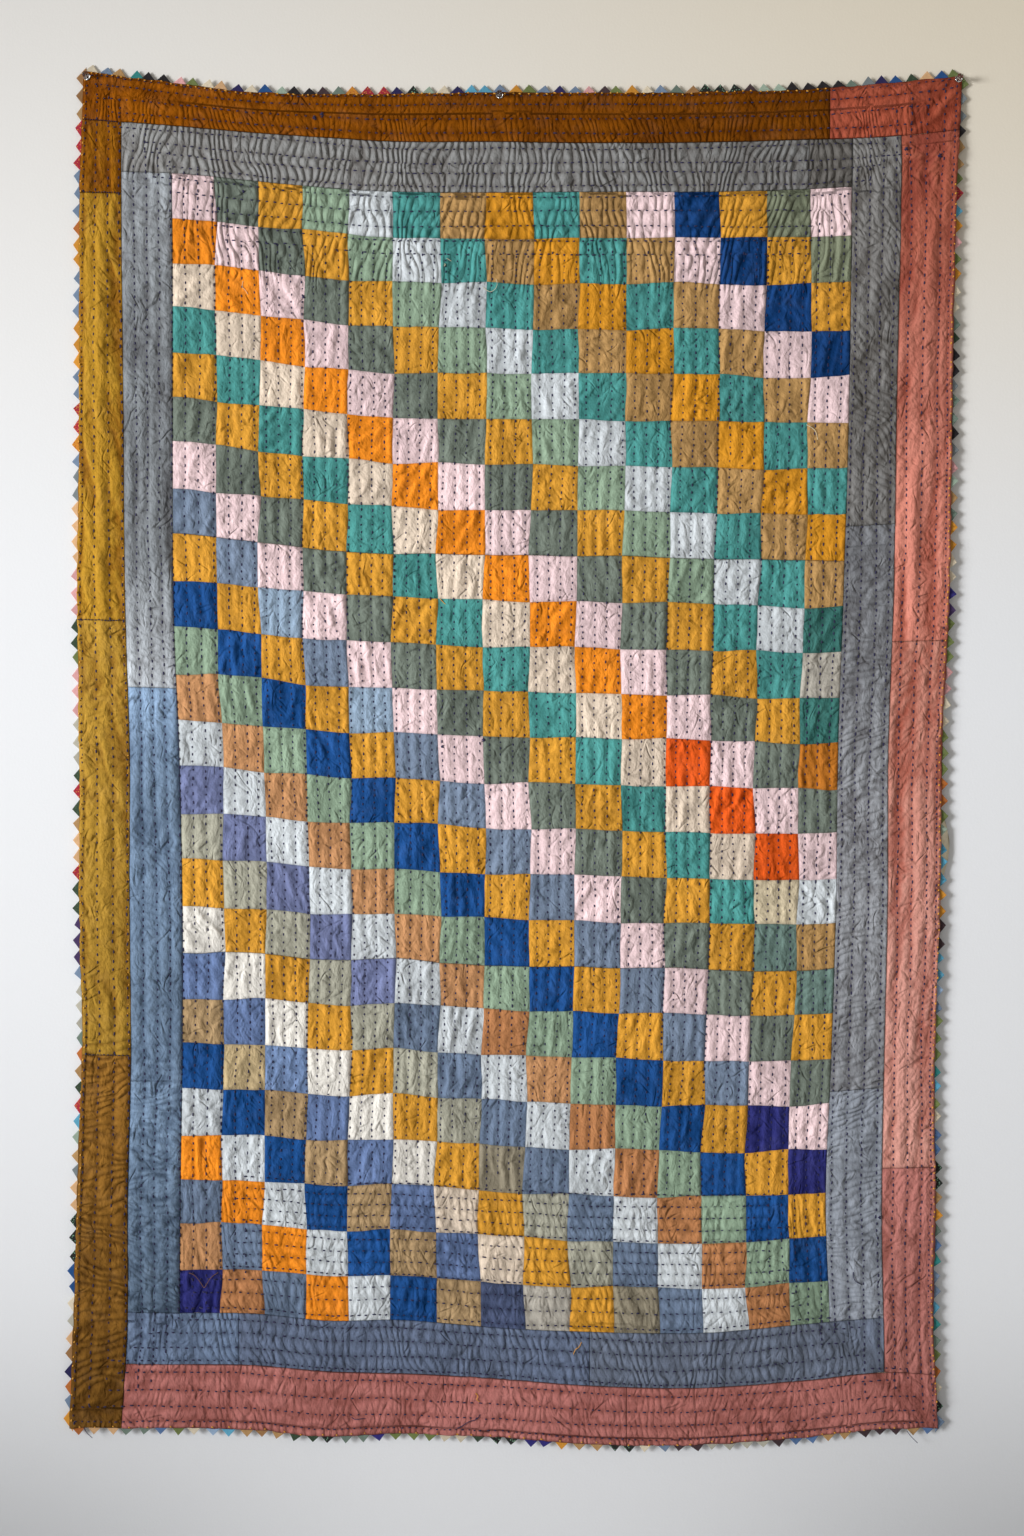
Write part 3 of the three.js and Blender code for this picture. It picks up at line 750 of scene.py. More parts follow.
def ripples_of(across, down):
    """The ripples of the cloth: how many of them there are up to a place, their height and spacing."""
    u, v, number, puff = row_place(across, down)
    between_rows = np.floor(number)
    count = np.zeros(u.shape)
    height = np.zeros(u.shape)
    spacing = np.ones(u.shape)
    for from_across, to_across, from_down, to_down, runs, apart, rise, lean in RIPPLES:
        weight = area(from_across, to_across, from_down, to_down, 0.02, across, down)
        here = weight > 0
        if not here.any():
            continue
        first_u, first_v = flat_from_pattern(from_across, from_down)
        last_u, last_v = flat_from_pattern(to_across, to_down)
        if runs == "upright":
            along, over = u, v - (first_v + last_v) / 2
        else:
            along, over = v, u - (first_u + last_u) / 2
        lean_here = lean + 0.35 * noise(along / 70, over / 300, 6)
        turn = (along + lean_here * over) / apart
        for stray, length, width, salt in RIPPLE_STRAYS:
            turn = turn + stray * noise(along / length, over / width, salt)
        turn = turn + 0.45 * noise(3.7 * between_rows, along / 60, 18)
        strength = 1.25 + 0.6 * noise(along / 24, over / 30 + 2.3 * between_rows, 9)
        stronger = here & (weight * rise * strength > height)
        count = np.where(stronger, turn, count)
        spacing = np.where(stronger, apart, spacing)
        height = np.where(stronger, weight * rise * strength, height)
    return count, height * (0.55 + 0.45 * puff), spacing


# Ripples closer than the first are drawn by the finish alone. Those wider than the second are fully
# in the mesh as well.
CLOSE_RIPPLES = 9
WIDE_RIPPLES = 15
MEAN_RIPPLE = 0.6

# Small lumps of the filling: height, and size across and down
LUMPS = (
    (0.16, 6.5, 6.5, 15),
    (0.12, 4, 9, 16),
)


def relief(across, down):
    """How far the front of the cloth stands above its even level, in mm."""
    u, v, _, puff = row_place(across, down)
    uneven = 0.85 + 0.5 * noise(u / 34, v / 60, 5)
    corner = corner_of(u, v)
    height = size_of("puff") * puff * uneven * (1 - 0.7 * corner)
    held = 0.5 + 0.5 * puff
    count, rise, spacing = ripples_of(across, down)
    hump = np.abs(np.sin(math.pi * count)) - MEAN_RIPPLE
    height = height + 0.45 * smooth(CLOSE_RIPPLES, WIDE_RIPPLES, spacing) * rise * hump
    for index, (angle, apart, length, drag) in enumerate(DRAGS):
        where = smooth(-0.2, 0.7, noise(u / 75, v / 75, 20 + index)) + 0.8 * corner
        height = height + held * drag * where * wrinkles(u, v, angle, length, apart, 10 * index)
    for index, (*bounds, angle, apart, length, drag) in enumerate(STRIP_DRAGS):
        where = area(*bounds, 0.03, across, down)
        height = height + held * drag * where * wrinkles(u, v, angle, length, apart, 90 + 5 * index)
    height = height + held * patch_wrinkles(u, v)
    for rise, width, length, salt in LUMPS:
        height = height + rise * noise(u / width, v / length, salt)
    return height


def front_of(across, down):
    """x, z and the distance from the wall to the front of the cloth, in mm, and its relief."""
    x, z = place(across, down)
    free = np.ones(x.shape)
    for pin_x, pin_z in PINS.values():
        free = free * (1 - np.exp(-(((x - pin_x) ** 2 + (z - pin_z) ** 2) / PRESSED_REACH ** 2)))
    height = relief(across, down) + sum(fold_height(crease, x, z) for crease in CREASES)
    height = height * free - PRESSED_DEPTH * (1 - free)
    return x, z, stand_off(x, z) + TOP_FRONT + height, height


# ---- meshes ----

def srgb(colour):
    """A colour as it is seen, as hex text or three numbers, as the linear numbers a material holds."""
    if isinstance(colour, str):
        colour = [int(colour[i:i + 2], 16) / 255 for i in (1, 3, 5)]
    return tuple(c / 12.92 if c <= 0.04045 else ((c + 0.055) / 1.055) ** 2.4 for c in colour)


def new_mesh_object(name, points, sizes, corners):
    """An object from points in mm and faces given by their sizes and corners."""
    mesh = bpy.data.meshes.new(name)
    mesh.vertices.add(len(points))
    mesh.vertices.foreach_set("co", (np.asarray(points) * MM).astype(np.float32).ravel())
    mesh.loops.add(len(corners))
    mesh.loops.foreach_set("vertex_index", np.asarray(corners, np.int32))
    mesh.polygons.add(len(sizes))
    starts = np.concatenate([[0], np.cumsum(sizes)[:-1]])
    mesh.polygons.foreach_set("loop_start", starts.astype(np.int32))
    mesh.update(calc_edges=True)
    mesh.validate()
    piece = bpy.data.objects.new(name, mesh)
    bpy.context.scene.collection.objects.link(piece)
    return piece


def set_attribute(piece, name, kind, domain, values):
    attribute = piece.data.attributes.new(name, kind, domain)
    field = {"FLOAT": "value", "FLOAT_COLOR": "color"}[kind]
    attribute.data.foreach_set(field, np.asarray(values, np.float32).ravel())


# The unseen side of a sheet has one cell to this many by this many of its seen side.
BACK_STRIDE = 3


class Sheet:
    """A closed sheet of cloth on a grid of places, fine at the front and coarse at the back."""

    def __init__(self, name, x, z, front, back, stride):
        """The arrays hold columns by rows: x, z and the distances of front and back from the wall."""
        self.columns, self.rows = x.shape[0] - 1, x.shape[1] - 1
        front = np.stack([x, -front, z], -1)
        back = np.stack([x, -back, z], -1)[::stride, ::stride]
        self.front_count = front.shape[0] * front.shape[1]
        index = np.arange(self.front_count).reshape(front.shape[:2])
        behind = self.front_count + np.arange(back.shape[0] * back.shape[1]).reshape(back.shape[:2])
        quads = (
            np.stack([index[:-1, :-1], index[:-1, 1:], index[1:, 1:], index[1:, :-1]], -1),
            np.stack([behind[:-1, :-1], behind[1:, :-1], behind[1:, 1:], behind[:-1, 1:]], -1),
        )
        faces = [quad.reshape(-1, 4) for quad in quads]
        rims = (
            (index[:, 0], behind[:, 0]),
            (index[::-1, -1], behind[::-1, -1]),
            (index[-1, :], behind[-1, :]),
            (index[0, ::-1], behind[0, ::-1]),
        )
        walls = []
        for fine, coarse in rims:
            for k in range(len(coarse) - 1):
                upper = fine[k * stride:(k + 1) * stride + 1]
                walls.append(np.concatenate([upper, [coarse[k + 1], coarse[k]]]))
        self.wall_size = stride + 3
        sizes = np.concatenate([
            np.full(len(faces[0]) + len(faces[1]), 4),
            np.full(len(walls), self.wall_size),
        ])
        corners = np.concatenate([faces[0].ravel(), faces[1].ravel(), np.concatenate(walls)])
        points = np.concatenate([front.reshape(-1, 3), back.reshape(-1, 3)])
        self.face_counts = (len(faces[0]), len(faces[1]), len(walls))
        self.point_count = len(points)
        self.piece = new_mesh_object(name, points, sizes, corners)
        smooth_faces = np.ones(len(sizes), bool)
        smooth_faces[-len(walls):] = False
        self.piece.data.polygons.foreach_set("use_smooth", smooth_faces)

    def point_values(self, name, front, behind=0.0):
        """A number for each point of the front, and one for all of the back."""
        values = np.full(self.point_count, behind)
        values[:self.front_count] = front.reshape(-1)
        set_attribute(self.piece, name, "FLOAT", "POINT", values)

    def face_colours(self, name, front, behind):
        """A colour for each face of the front, columns by rows by 3, and one for the back and rim."""
        quads, backs, walls = self.face_counts
        values = np.ones((4 * (quads + backs) + self.wall_size * walls, 4))
        values[:4 * quads, :3] = np.repeat(front.reshape(-1, 3), 4, axis=0)
        values[4 * quads:, :3] = behind
        set_attribute(self.piece, name, "FLOAT_COLOR", "CORNER", values)

    def relief_values(self, across, down, wear_and_shade, seam):
        """What the finish needs: wear with painted shade and highlight by height, seams, which it darkens
        with dirt and painted shade, and the rows and ripples that it draws finely.
        """
        self.point_values("wear_and_shade", wear_and_shade)
        self.point_values("seam", np.clip(seam, 0, 1))
        _, _, number, _ = row_place(across, down)
        self.point_values("row_sine", np.sin(2 * math.pi * number))
        self.point_values("row_cosine", np.cos(2 * math.pi * number), -1)
        count, height, _ = ripples_of(across, down)
        self.point_values("ripple", count)
        self.point_values("ripple_height", height)

    def cloth_map(self, u, v, offsets=None):
        """The cloth's own map in metres, from places on the flat quilt, offset for each face if asked."""
        mesh = self.piece.data
        hung = np.zeros(self.point_count * 3, np.float32)
        mesh.vertices.foreach_get("co", hung)
        points = hung.reshape(-1, 3)[:, [0, 2]] * (1 / MM, -1 / MM)
        points[:self.front_count] = np.stack([u.reshape(-1), v.reshape(-1)], -1)
        vertex = np.zeros(len(mesh.loops), np.int32)
        mesh.loops.foreach_get("vertex_index", vertex)
        mapped = points[vertex] * MM
        if offsets is not None:
            mapped[:4 * self.face_counts[0]] += np.repeat(offsets.reshape(-1, 2), 4, axis=0)
        mesh.uv_layers.new(name="cloth").data.foreach_set("uv", mapped.astype(np.float32).ravel())


def stops(length, cell, multiple, edge=1.1):
    """Places from 0 to 1 along a length, close together at both ends, a multiple of them apart."""
    count = max(multiple, multiple * round(length / cell / multiple))
    inner = np.linspace(edge / length, 1 - edge / length, count - 1)
    return np.concatenate([[0], inner, [1]])


def finish_piece(piece, slot, material, *nodes):
    """What every piece of the quilt needs: a finish and a body to ride on. The model's parts that it stands
    for are hidden.
    """
    piece.data.materials.append(material)
    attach(piece, "root")
    if nodes:
        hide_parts(*nodes)
    return piece


def inset_of(part_across, part_down, length_across, length_down):
    """How far inside a piece's nearest edge a place is."""
    return np.minimum(
        np.minimum(part_across, 1 - part_across) * length_across,
        np.minimum(part_down, 1 - part_down) * length_down,
    )


# ---- materials ----

def feed(tree, sockets, inputs):
    """Sets input sockets to values or joins them to other sockets."""
    for key, value in inputs.items():
        if isinstance(value, bpy.types.NodeSocket):
            tree.links.new(value, sockets[key])
        else:
            sockets[key].default_value = value


def add_node(tree, kind, inputs, **settings):
    node = tree.nodes.new(kind)
    for name, value in settings.items():
        setattr(node, name, value)
    feed(tree, node.inputs, inputs)
    return node


def maths(tree, operation, a, b=0.0, c=0.0):
    return add_node(tree, "ShaderNodeMath", {0: a, 1: b, 2: c}, operation=operation).outputs[0]


def times(tree, a, b):
    return maths(tree, "MULTIPLY", a, b)


def plus(tree, a, b):
    return maths(tree, "ADD", a, b)


def times_plus(tree, a, b, c):
    """a times b, plus c."""
    return maths(tree, "MULTIPLY_ADD", a, b, c)


def mix_colours(tree, factor, a, b):
    return add_node(tree, "ShaderNodeMix", {0: factor, 6: a, 7: b}, data_type="RGBA").outputs[2]


def scaled(tree, colour, factor):
    node = add_node(tree, "ShaderNodeVectorMath", {0: colour, "Scale": factor}, operation="SCALE")
    return node.outputs[0]


def cloud(tree, place, size, detail=2.0, stretch=(1, 1, 1), seed=0.0, roughness=0.5, turned=0):
    """Noise from -1 to 1. Its features are about a size in metres, longer by stretch, turned in degrees."""
    scale = tuple(size * s for s in stretch)
    spot = add_node(
        tree, "ShaderNodeMapping",
        {"Vector": place, "Scale": scale, "Location": (-seed * scale[0], -seed * 1.7 * scale[1], 0),
         "Rotation": (0, 0, math.radians(turned))},
        vector_type="TEXTURE")
    field = add_node(
        tree, "ShaderNodeTexNoise",
        {"Vector": spot.outputs[0], "Scale": 1.0, "Detail": detail, "Roughness": roughness})
    return times_plus(tree, field.outputs[0], 2.0, -1.0)


def object_place(tree):
    return tree.nodes.new("ShaderNodeTexCoord").outputs["Object"]


def new_group(name, inputs, outputs):
    tree = bpy.data.node_groups.new(name, "ShaderNodeTree")
    for label, kind, default in inputs:
        socket = tree.interface.new_socket(label, in_out="INPUT", socket_type=kind)
        if default is not None:
            socket.default_value = default
    for label, kind in outputs:
        tree.interface.new_socket(label, in_out="OUTPUT", socket_type=kind)
    return tree, tree.nodes.new("NodeGroupInput").outputs, tree.nodes.new("NodeGroupOutput").inputs


def woven_cotton_group():
    """Plain-weave cotton: colour with mottling and slubs, the height of its threads and its roughness."""
    tree, given, out = new_group(
        "woven cotton",
        [
            ("Place", "NodeSocketVector", None),
            ("Dye", "NodeSocketColor", (0.5, 0.5, 0.5, 1)),
            ("Thread", "NodeSocketFloat", 0.0007),
            ("Mottle", "NodeSocketFloat", 0.1),
            ("Slub", "NodeSocketFloat", 0.1),
        ],
        [("Colour", "NodeSocketColor"), ("Height", "NodeSocketFloat"), ("Roughness", "NodeSocketFloat")],
    )
    place = given["Place"]
    mottle = times(tree, cloud(tree, place, 0.03, 4, seed=3, roughness=0.62), given["Mottle"])
    blotch = times(tree, cloud(tree, place, 0.005, 3, seed=11), given["Mottle"])
    weft = cloud(tree, place, 0.0009, 1, (9, 1, 1), seed=5)
    warp = cloud(tree, place, 0.0009, 1, (1, 9, 1), seed=8)
    slub = plus(tree, weft, warp)
    lengthwise = cloud(tree, place, 0.0026, 2, (1, 5, 1), seed=14)
    grain = plus(tree, lengthwise, cloud(tree, place, 0.0026, 2, (5, 1, 1), seed=17))
    apart = add_node(tree, "ShaderNodeSeparateXYZ", {0: place})
    turns = maths(tree, "DIVIDE", 2 * math.pi, given["Thread"])
    over = maths(tree, "SINE", times(tree, apart.outputs[0], turns))
    under = maths(tree, "SINE", times(tree, apart.outputs[1], turns))
    weave = times(tree, over, under)
    value = plus(tree, plus(tree, mottle, blotch), 1.0)
    value = times_plus(tree, times(tree, slub, given["Slub"]), 0.5, value)
    value = times_plus(tree, times(tree, grain, given["Slub"]), 0.5, value)
    value = times_plus(tree, weave, 0.05, value)
    worn = maths(tree, "MAXIMUM", times(tree, mottle, 0.4), 0.0)
    dye = mix_colours(tree, worn, given["Dye"], (0.62, 0.6, 0.57, 1))
    feed(tree, out, {
        "Colour": scaled(tree, dye, value),
        "Height": times_plus(tree, slub, 0.05, times(tree, weave, 0.05)),
        "Roughness": times_plus(tree, slub, -0.04, 0.86),
    })
    return tree


def crinkle_group():
    """Fine crinkles of washed cotton and a few sharp creases that run all ways, as a height in mm."""
    tree, given, out = new_group(
        "crinkles", [("Place", "NodeSocketVector", None)], [("Height", "NodeSocketFloat")])
    place = given["Place"]
    sideways = times(tree, cloud(tree, place, 0.05, 1), 0.01)
    shift = add_node(tree, "ShaderNodeCombineXYZ", {0: sideways}).outputs[0]
    bent = add_node(tree, "ShaderNodeVectorMath", {0: place, 1: shift}, operation="ADD").outputs[0]
    height = times(tree, cloud(tree, bent, 0.0045, 2, (1, 2.6, 1), seed=21), 0.13)
    for size, turned, seed, rise in ((0.009, 12, 27, 0.34), (0.008, -34, 57, 0.3)):
        broad = cloud(tree, bent, size, 2, (1, 3, 1), seed=seed, turned=turned)
        soft = maths(tree, "SUBTRACT", 0.5, maths(tree, "ABSOLUTE", broad))
        height = times_plus(tree, soft, rise, height)
    for turned, seed in ((14, 33), (-38, 43), (58, 63)):
        line = maths(tree, "ABSOLUTE", cloud(tree, bent, 0.022, 1, (1, 2.4, 1), seed=seed, turned=turned))
        sharp = maths(tree, "MAXIMUM", times_plus(tree, line, -7.0, 1.0), 0.0)
        where = maths(tree, "MAXIMUM", cloud(tree, place, 0.034, 1, seed=seed + 6), 0.0)
        height = times_plus(tree, times(tree, sharp, where), -1.3, height)
    feed(tree, out, {"Height": height})
    return tree


def new_material(name):
    material = bpy.data.materials.new(name)
    material.use_nodes = True
    tree = material.node_tree
    tree.nodes.clear()
    shader = tree.nodes.new("ShaderNodeBsdfPrincipled")
    output = tree.nodes.new("ShaderNodeOutputMaterial")
    tree.links.new(shader.outputs[0], output.inputs["Surface"])
    return material, tree, shader


def bump(tree, height_mm):
    return add_node(tree, "ShaderNodeBump", {"Height": height_mm, "Distance": MM}).outputs[0]


def attribute(tree, name, output="Fac"):
    return add_node(tree, "ShaderNodeAttribute", {}, attribute_name=name).outputs[output]


GROUPS = {}


def use_group(tree, name, inputs):
    return add_node(tree, "ShaderNodeGroup", inputs, node_tree=GROUPS[name]).outputs


def quilted_height(tree):
    """The sharp valleys at the rows of stitches, as 0 to 1, and the ripples between them, in mm."""
    sine = attribute(tree, "row_sine")
    cosine = attribute(tree, "row_cosine")
    length = maths(tree, "SQRT", times_plus(tree, sine, sine, times(tree, cosine, cosine)))
    level = maths(tree, "DIVIDE", cosine, maths(tree, "MAXIMUM", length, 0.05))
    above = maths(tree, "MAXIMUM", times_plus(tree, level, -0.5, 0.5), 0.0)
    puff = maths(tree, "POWER", above, 0.3)
    turn = times(tree, attribute(tree, "ripple"), math.pi)
    hump = maths(tree, "ABSOLUTE", maths(tree, "SINE", turn))
    rise = times(tree, maths(tree, "SUBTRACT", hump, MEAN_RIPPLE), attribute(tree, "ripple_height"))
    return puff, rise


def cotton_material(name, mottle, slub, crinkle, fading):
    """Cotton dyed as its piece's dye and faded attributes say, worn on its ridges with painted highlight,
    painted shade in its valleys, and darker in its seams with dirt and painted shade.
    """
    material, tree, shader = new_material(name)
    place = add_node(tree, "ShaderNodeUVMap", {}, uv_map="cloth").outputs[0]
    uneven = cloud(tree, place, 0.02, 3, seed=31)
    creases = use_group(tree, "crinkles", {"Place": place})["Height"]
    puff, ripples = quilted_height(tree)
    # The colour follows the relief, the crinkles and the ripples: wear and painted highlight on their
    # ridges, painted shade in their valleys.
    wear_and_shade = times_plus(tree, uneven, 0.2, attribute(tree, "wear_and_shade"))
    wear_and_shade = times_plus(tree, creases, 0.45, wear_and_shade)
    wear_and_shade = times_plus(tree, ripples, 0.25, wear_and_shade)
    worn = times(tree, maths(tree, "MINIMUM", maths(tree, "MAXIMUM", wear_and_shade, 0.0), 1.0), fading)
    dye = mix_colours(tree, worn, attribute(tree, "dye", "Color"), attribute(tree, "faded", "Color"))
    # The seams are darkened: dirt and painted shade.
    seam = maths(tree, "POWER", attribute(tree, "seam"), 3.0)
    dye = scaled(tree, dye, times_plus(tree, seam, -0.3, 1.0))
    cotton = use_group(tree, "woven cotton", {"Place": place, "Dye": dye, "Mottle": mottle, "Slub": slub})
    height = times_plus(tree, creases, crinkle, cotton["Height"])
    height = times_plus(tree, ripples, 1.3, height)
    height = times_plus(tree, puff, 1.7, height)
    feed(tree, shader.inputs, {
        "Base Color": cotton["Colour"],
        "Roughness": cotton["Roughness"],
        "Normal": bump(tree, height),
        "Specular IOR Level": 0.05,
    })
    return material


def scrap_material():
    """Folded scraps of cloth: a dye for each point, and a sprinkle of a print's second colour."""
    material, tree, shader = new_material("point cotton")
    place = object_place(tree)
    speck = add_node(tree, "ShaderNodeTexVoronoi", {"Vector": place, "Scale": 330.0, "Randomness": 0.85})
    dot = maths(tree, "LESS_THAN", speck.outputs["Distance"], 0.27)
    printed = times(tree, dot, attribute(tree, "print"))
    dye = mix_colours(tree, printed, attribute(tree, "dye", "Color"), attribute(tree, "faded", "Color"))
    turned = add_node(tree, "ShaderNodeMapping", {"Vector": place, "Rotation": (math.radians(90), 0, 0)})
    cotton = use_group(
        tree, "woven cotton",
        {"Place": turned.outputs[0], "Dye": dye, "Mottle": 0.1, "Slub": 0.12, "Thread": 0.0006})
    feed(tree, shader.inputs, {
        "Base Color": cotton["Colour"],
        "Roughness": cotton["Roughness"],
        "Normal": bump(tree, times_plus(tree, cloud(tree, place, 0.004, 2), 0.15, cotton["Height"])),
        "Sheen Weight": 0.15,
        "Specular IOR Level": 0.25,
    })
    return material


def thread_material(name, colour):
    """Spun cotton thread, with its plies and a dye that took unevenly."""
    material, tree, shader = new_material(name)
    place = object_place(tree)
    uneven = cloud(tree, place, 0.03, 2, seed=2)
    fibre = cloud(tree, place, 0.0005, 2, seed=9)
    value = times_plus(tree, fibre, 0.12, times_plus(tree, uneven, 0.16, 1.0))
    ply = add_node(
        tree, "ShaderNodeTexWave", {"Vector": place, "Scale": 700.0, "Distortion": 2.0},
        bands_direction="DIAGONAL")
    feed(tree, shader.inputs, {
        "Base Color": scaled(tree, srgb(colour), value),
        "Roughness": times_plus(tree, fibre, 0.08, 0.72),
        "Normal": bump(tree, times(tree, ply.outputs["Fac"], 0.12)),
        "Sheen Weight": 0.1,
    })
    return material


def clear_plastic_material():
    """Clear moulded plastic, lightly scuffed."""
    material, tree, shader = new_material("clear plastic")
    place = object_place(tree)
    scuff = cloud(tree, place, 0.002, 3, seed=4)
    feed(tree, shader.inputs, {
        "Base Color": (0.96, 0.98, 0.98, 1),
        "Roughness": times_plus(tree, scuff, 0.03, 0.06),
        "Normal": bump(tree, times(tree, scuff, 0.02)),
        "Transmission Weight": 1.0,
        "IOR": 1.56,
    })
    return material


def steel_material():
    """Bright drawn wire with marks along it."""
    material, tree, shader = new_material("needle steel")
    place = object_place(tree)
    marks = cloud(tree, place, 0.0003, 2, (1, 12, 1), seed=6)
    feed(tree, shader.inputs, {
        "Base Color": scaled(tree, (0.56, 0.57, 0.58), times_plus(tree, marks, 0.08, 1.0)),
        "Roughness": times_plus(tree, marks, 0.08, 0.26),
        "Metallic": 1.0,
    })
    return material


def part_of_way(tree, value, low, high):
    """0 below a value and 1 above another, with a smooth rise between them."""
    node = add_node(
        tree, "ShaderNodeMapRange", {"Value": value, "From Min": low, "From Max": high},
        interpolation_type="SMOOTHSTEP")
    return node.outputs["Result"]


# A warmer, darker colour painted onto the wall as shade towards its top right
WALL_PAINTED_WARM_SHADE = "#e9e0cd"


def wall_material(colour):
    """Painted wall, with painted warm shade towards its top right and painted shade at its foot towards
    both sides. Its back lets the light through.
    """
    material, tree, shader = new_material("wall paint")
    place = object_place(tree)
    apart = add_node(tree, "ShaderNodeSeparateXYZ", {0: place})
    top = part_of_way(tree, apart.outputs[2], -0.9, 0.2)
    right = part_of_way(tree, apart.outputs[0], -0.9, 0.9)
    foot = part_of_way(tree, apart.outputs[2], -1.75, -2.35)
    side = part_of_way(tree, maths(tree, "ABSOLUTE", apart.outputs[0]), 0.1, 0.85)
    # Painted warm shade towards the top, strongest at the right
    painted_warm_shade = times(tree, top, times_plus(tree, right, 0.7, 0.3))
    paint = mix_colours(tree, painted_warm_shade, (*srgb(colour), 1), (*srgb(WALL_PAINTED_WARM_SHADE), 1))
    # Painted shade at the foot, towards both sides
    painted_foot_shade = times(tree, times(tree, foot, side), -0.33)
    uneven = times_plus(tree, cloud(tree, place, 0.5, 2), 0.012, 1.0)
    feed(tree, shader.inputs, {
        "Base Color": scaled(tree, paint, plus(tree, painted_foot_shade, uneven)),
        "Roughness": 0.9,
        "Normal": bump(tree, times(tree, cloud(tree, place, 0.004, 2), 0.08)),
    })
    back = tree.nodes.new("ShaderNodeNewGeometry").outputs["Backfacing"]
    through = tree.nodes.new("ShaderNodeBsdfTransparent")
    both = add_node(tree, "ShaderNodeMixShader", {0: back, 1: shader.outputs[0], 2: through.outputs[0]})
    output = next(n for n in tree.nodes if n.type == "OUTPUT_MATERIAL")
    tree.links.new(both.outputs[0], output.inputs["Surface"])
    return material


# The finishes that several operators use, and how each is made under its name
SHARED_FINISHES = {
    "patch cotton": lambda name: cotton_material(name, 0.1, 0.15, 3.7, 1.0),
    "strip cotton": lambda name: cotton_material(name, 0.11, 0.17, 4.2, 1.0),
    "sewing thread": lambda name: thread_material(name, colours().thread),
    "gold thread": lambda name: thread_material(name, colours().gold),
}


def finish(name):
    """A shared finish, made when it is first asked for."""
    return bpy.data.materials.get(name) or SHARED_FINISHES[name](name)


# ---- pieced top ----

# The unseen side of the patches, and how much patches of one dye differ in shade
LINING = "#d9d0bd"
PATCH_SHADES = 0.09


def dye_of(row, column):
    """The dye of a patch, by its diagonal unless it is a scrap of another dye."""
    name = SCRAP_DYES.get((row, column), DIAGONALS[row - column + COLUMNS - 1])
    return np.array(srgb(DYES[name]))


# How much the cloth is worn all over, for each mm of its relief and for each mm of its folds: wear with
# painted shade and highlight
EVEN_WEAR = 0.04
RELIEF_WEAR_AND_SHADE = 0.4
FOLD_WEAR_AND_SHADE = 0.22


def wear_and_shade_of(x, z, height):
    """How worn the cloth is by its height, with painted shade and highlight: 0 in the valleys and 1 on the
    ridges.
    """
    folds = sum(fold_height(fold, x, z) for fold in FOLDS)
    return np.clip(EVEN_WEAR + RELIEF_WEAR_AND_SHADE * height + FOLD_WEAR_AND_SHADE * folds, 0, 1)


def make_field_band(name, first, last, cells, material):
    """Some rows of patches, sewn into one cloth."""
    gap = SEAM_GAP / 2 / PATCH_SIZE
    one = stops(PATCH_SIZE, PATCH_SIZE / cells, cells)[:-1]
    columns = np.concatenate([*(c + one for c in range(COLUMNS)), [COLUMNS]])
    rows = np.concatenate([*(r + one for r in range(first, last)), [last]])
    columns[0] += gap
    columns[-1] -= gap
    rows[0] += gap
    rows[-1] -= gap
    column, row = np.meshgrid(columns, rows, indexing="ij")
    u, v = field_place(column, row)
    across, down = pattern_from_flat(u, v)
    x, z, front, height = front_of(across, down)
    seam = np.maximum(seam_profile(column), seam_profile(row))
    depth = size_of("seam_depth")
    back = stand_off(x, z) + TOP_BACK
    front = np.maximum(front - depth * seam, back + THINNEST)
    sheet = Sheet(name, x, z, front, back, cells // 3)

    of_column = np.minimum(np.arange(sheet.columns) // cells, COLUMNS - 1)
    of_row = first + np.minimum(np.arange(sheet.rows) // cells, last - first - 1)
    random = np.random.default_rng(3)
    shades = 1 + PATCH_SHADES * random.uniform(-1, 1, (COLUMNS, ROWS))
    offsets = random.uniform(0, 2, (COLUMNS, ROWS, 2))
    dyes = np.array([[dye_of(r, c) * shades[c, r] for r in range(ROWS)] for c in range(COLUMNS)])
    picked = dyes[of_column][:, of_row]
    behind = srgb(LINING)
    # A deep dye is darker in the valleys and fades more on the ridges: fading, with painted shade in the
    # valleys and painted highlight on the ridges.
    depth_of_dye = 1 - picked.mean(-1, keepdims=True) ** 0.5
    sheet.face_colours("dye", picked * (0.76 - 0.2 * depth_of_dye), behind)
    sheet.face_colours("faded", picked * (1.01 + 0.22 * depth_of_dye) + 0.012 * depth_of_dye, behind)
    sheet.relief_values(across, down, wear_and_shade_of(x, z, height), seam)
    sheet.cloth_map(u, v, offsets[of_column][:, of_row])
    finish_piece(sheet.piece, "patch_cotton", material, "patchwork_field")


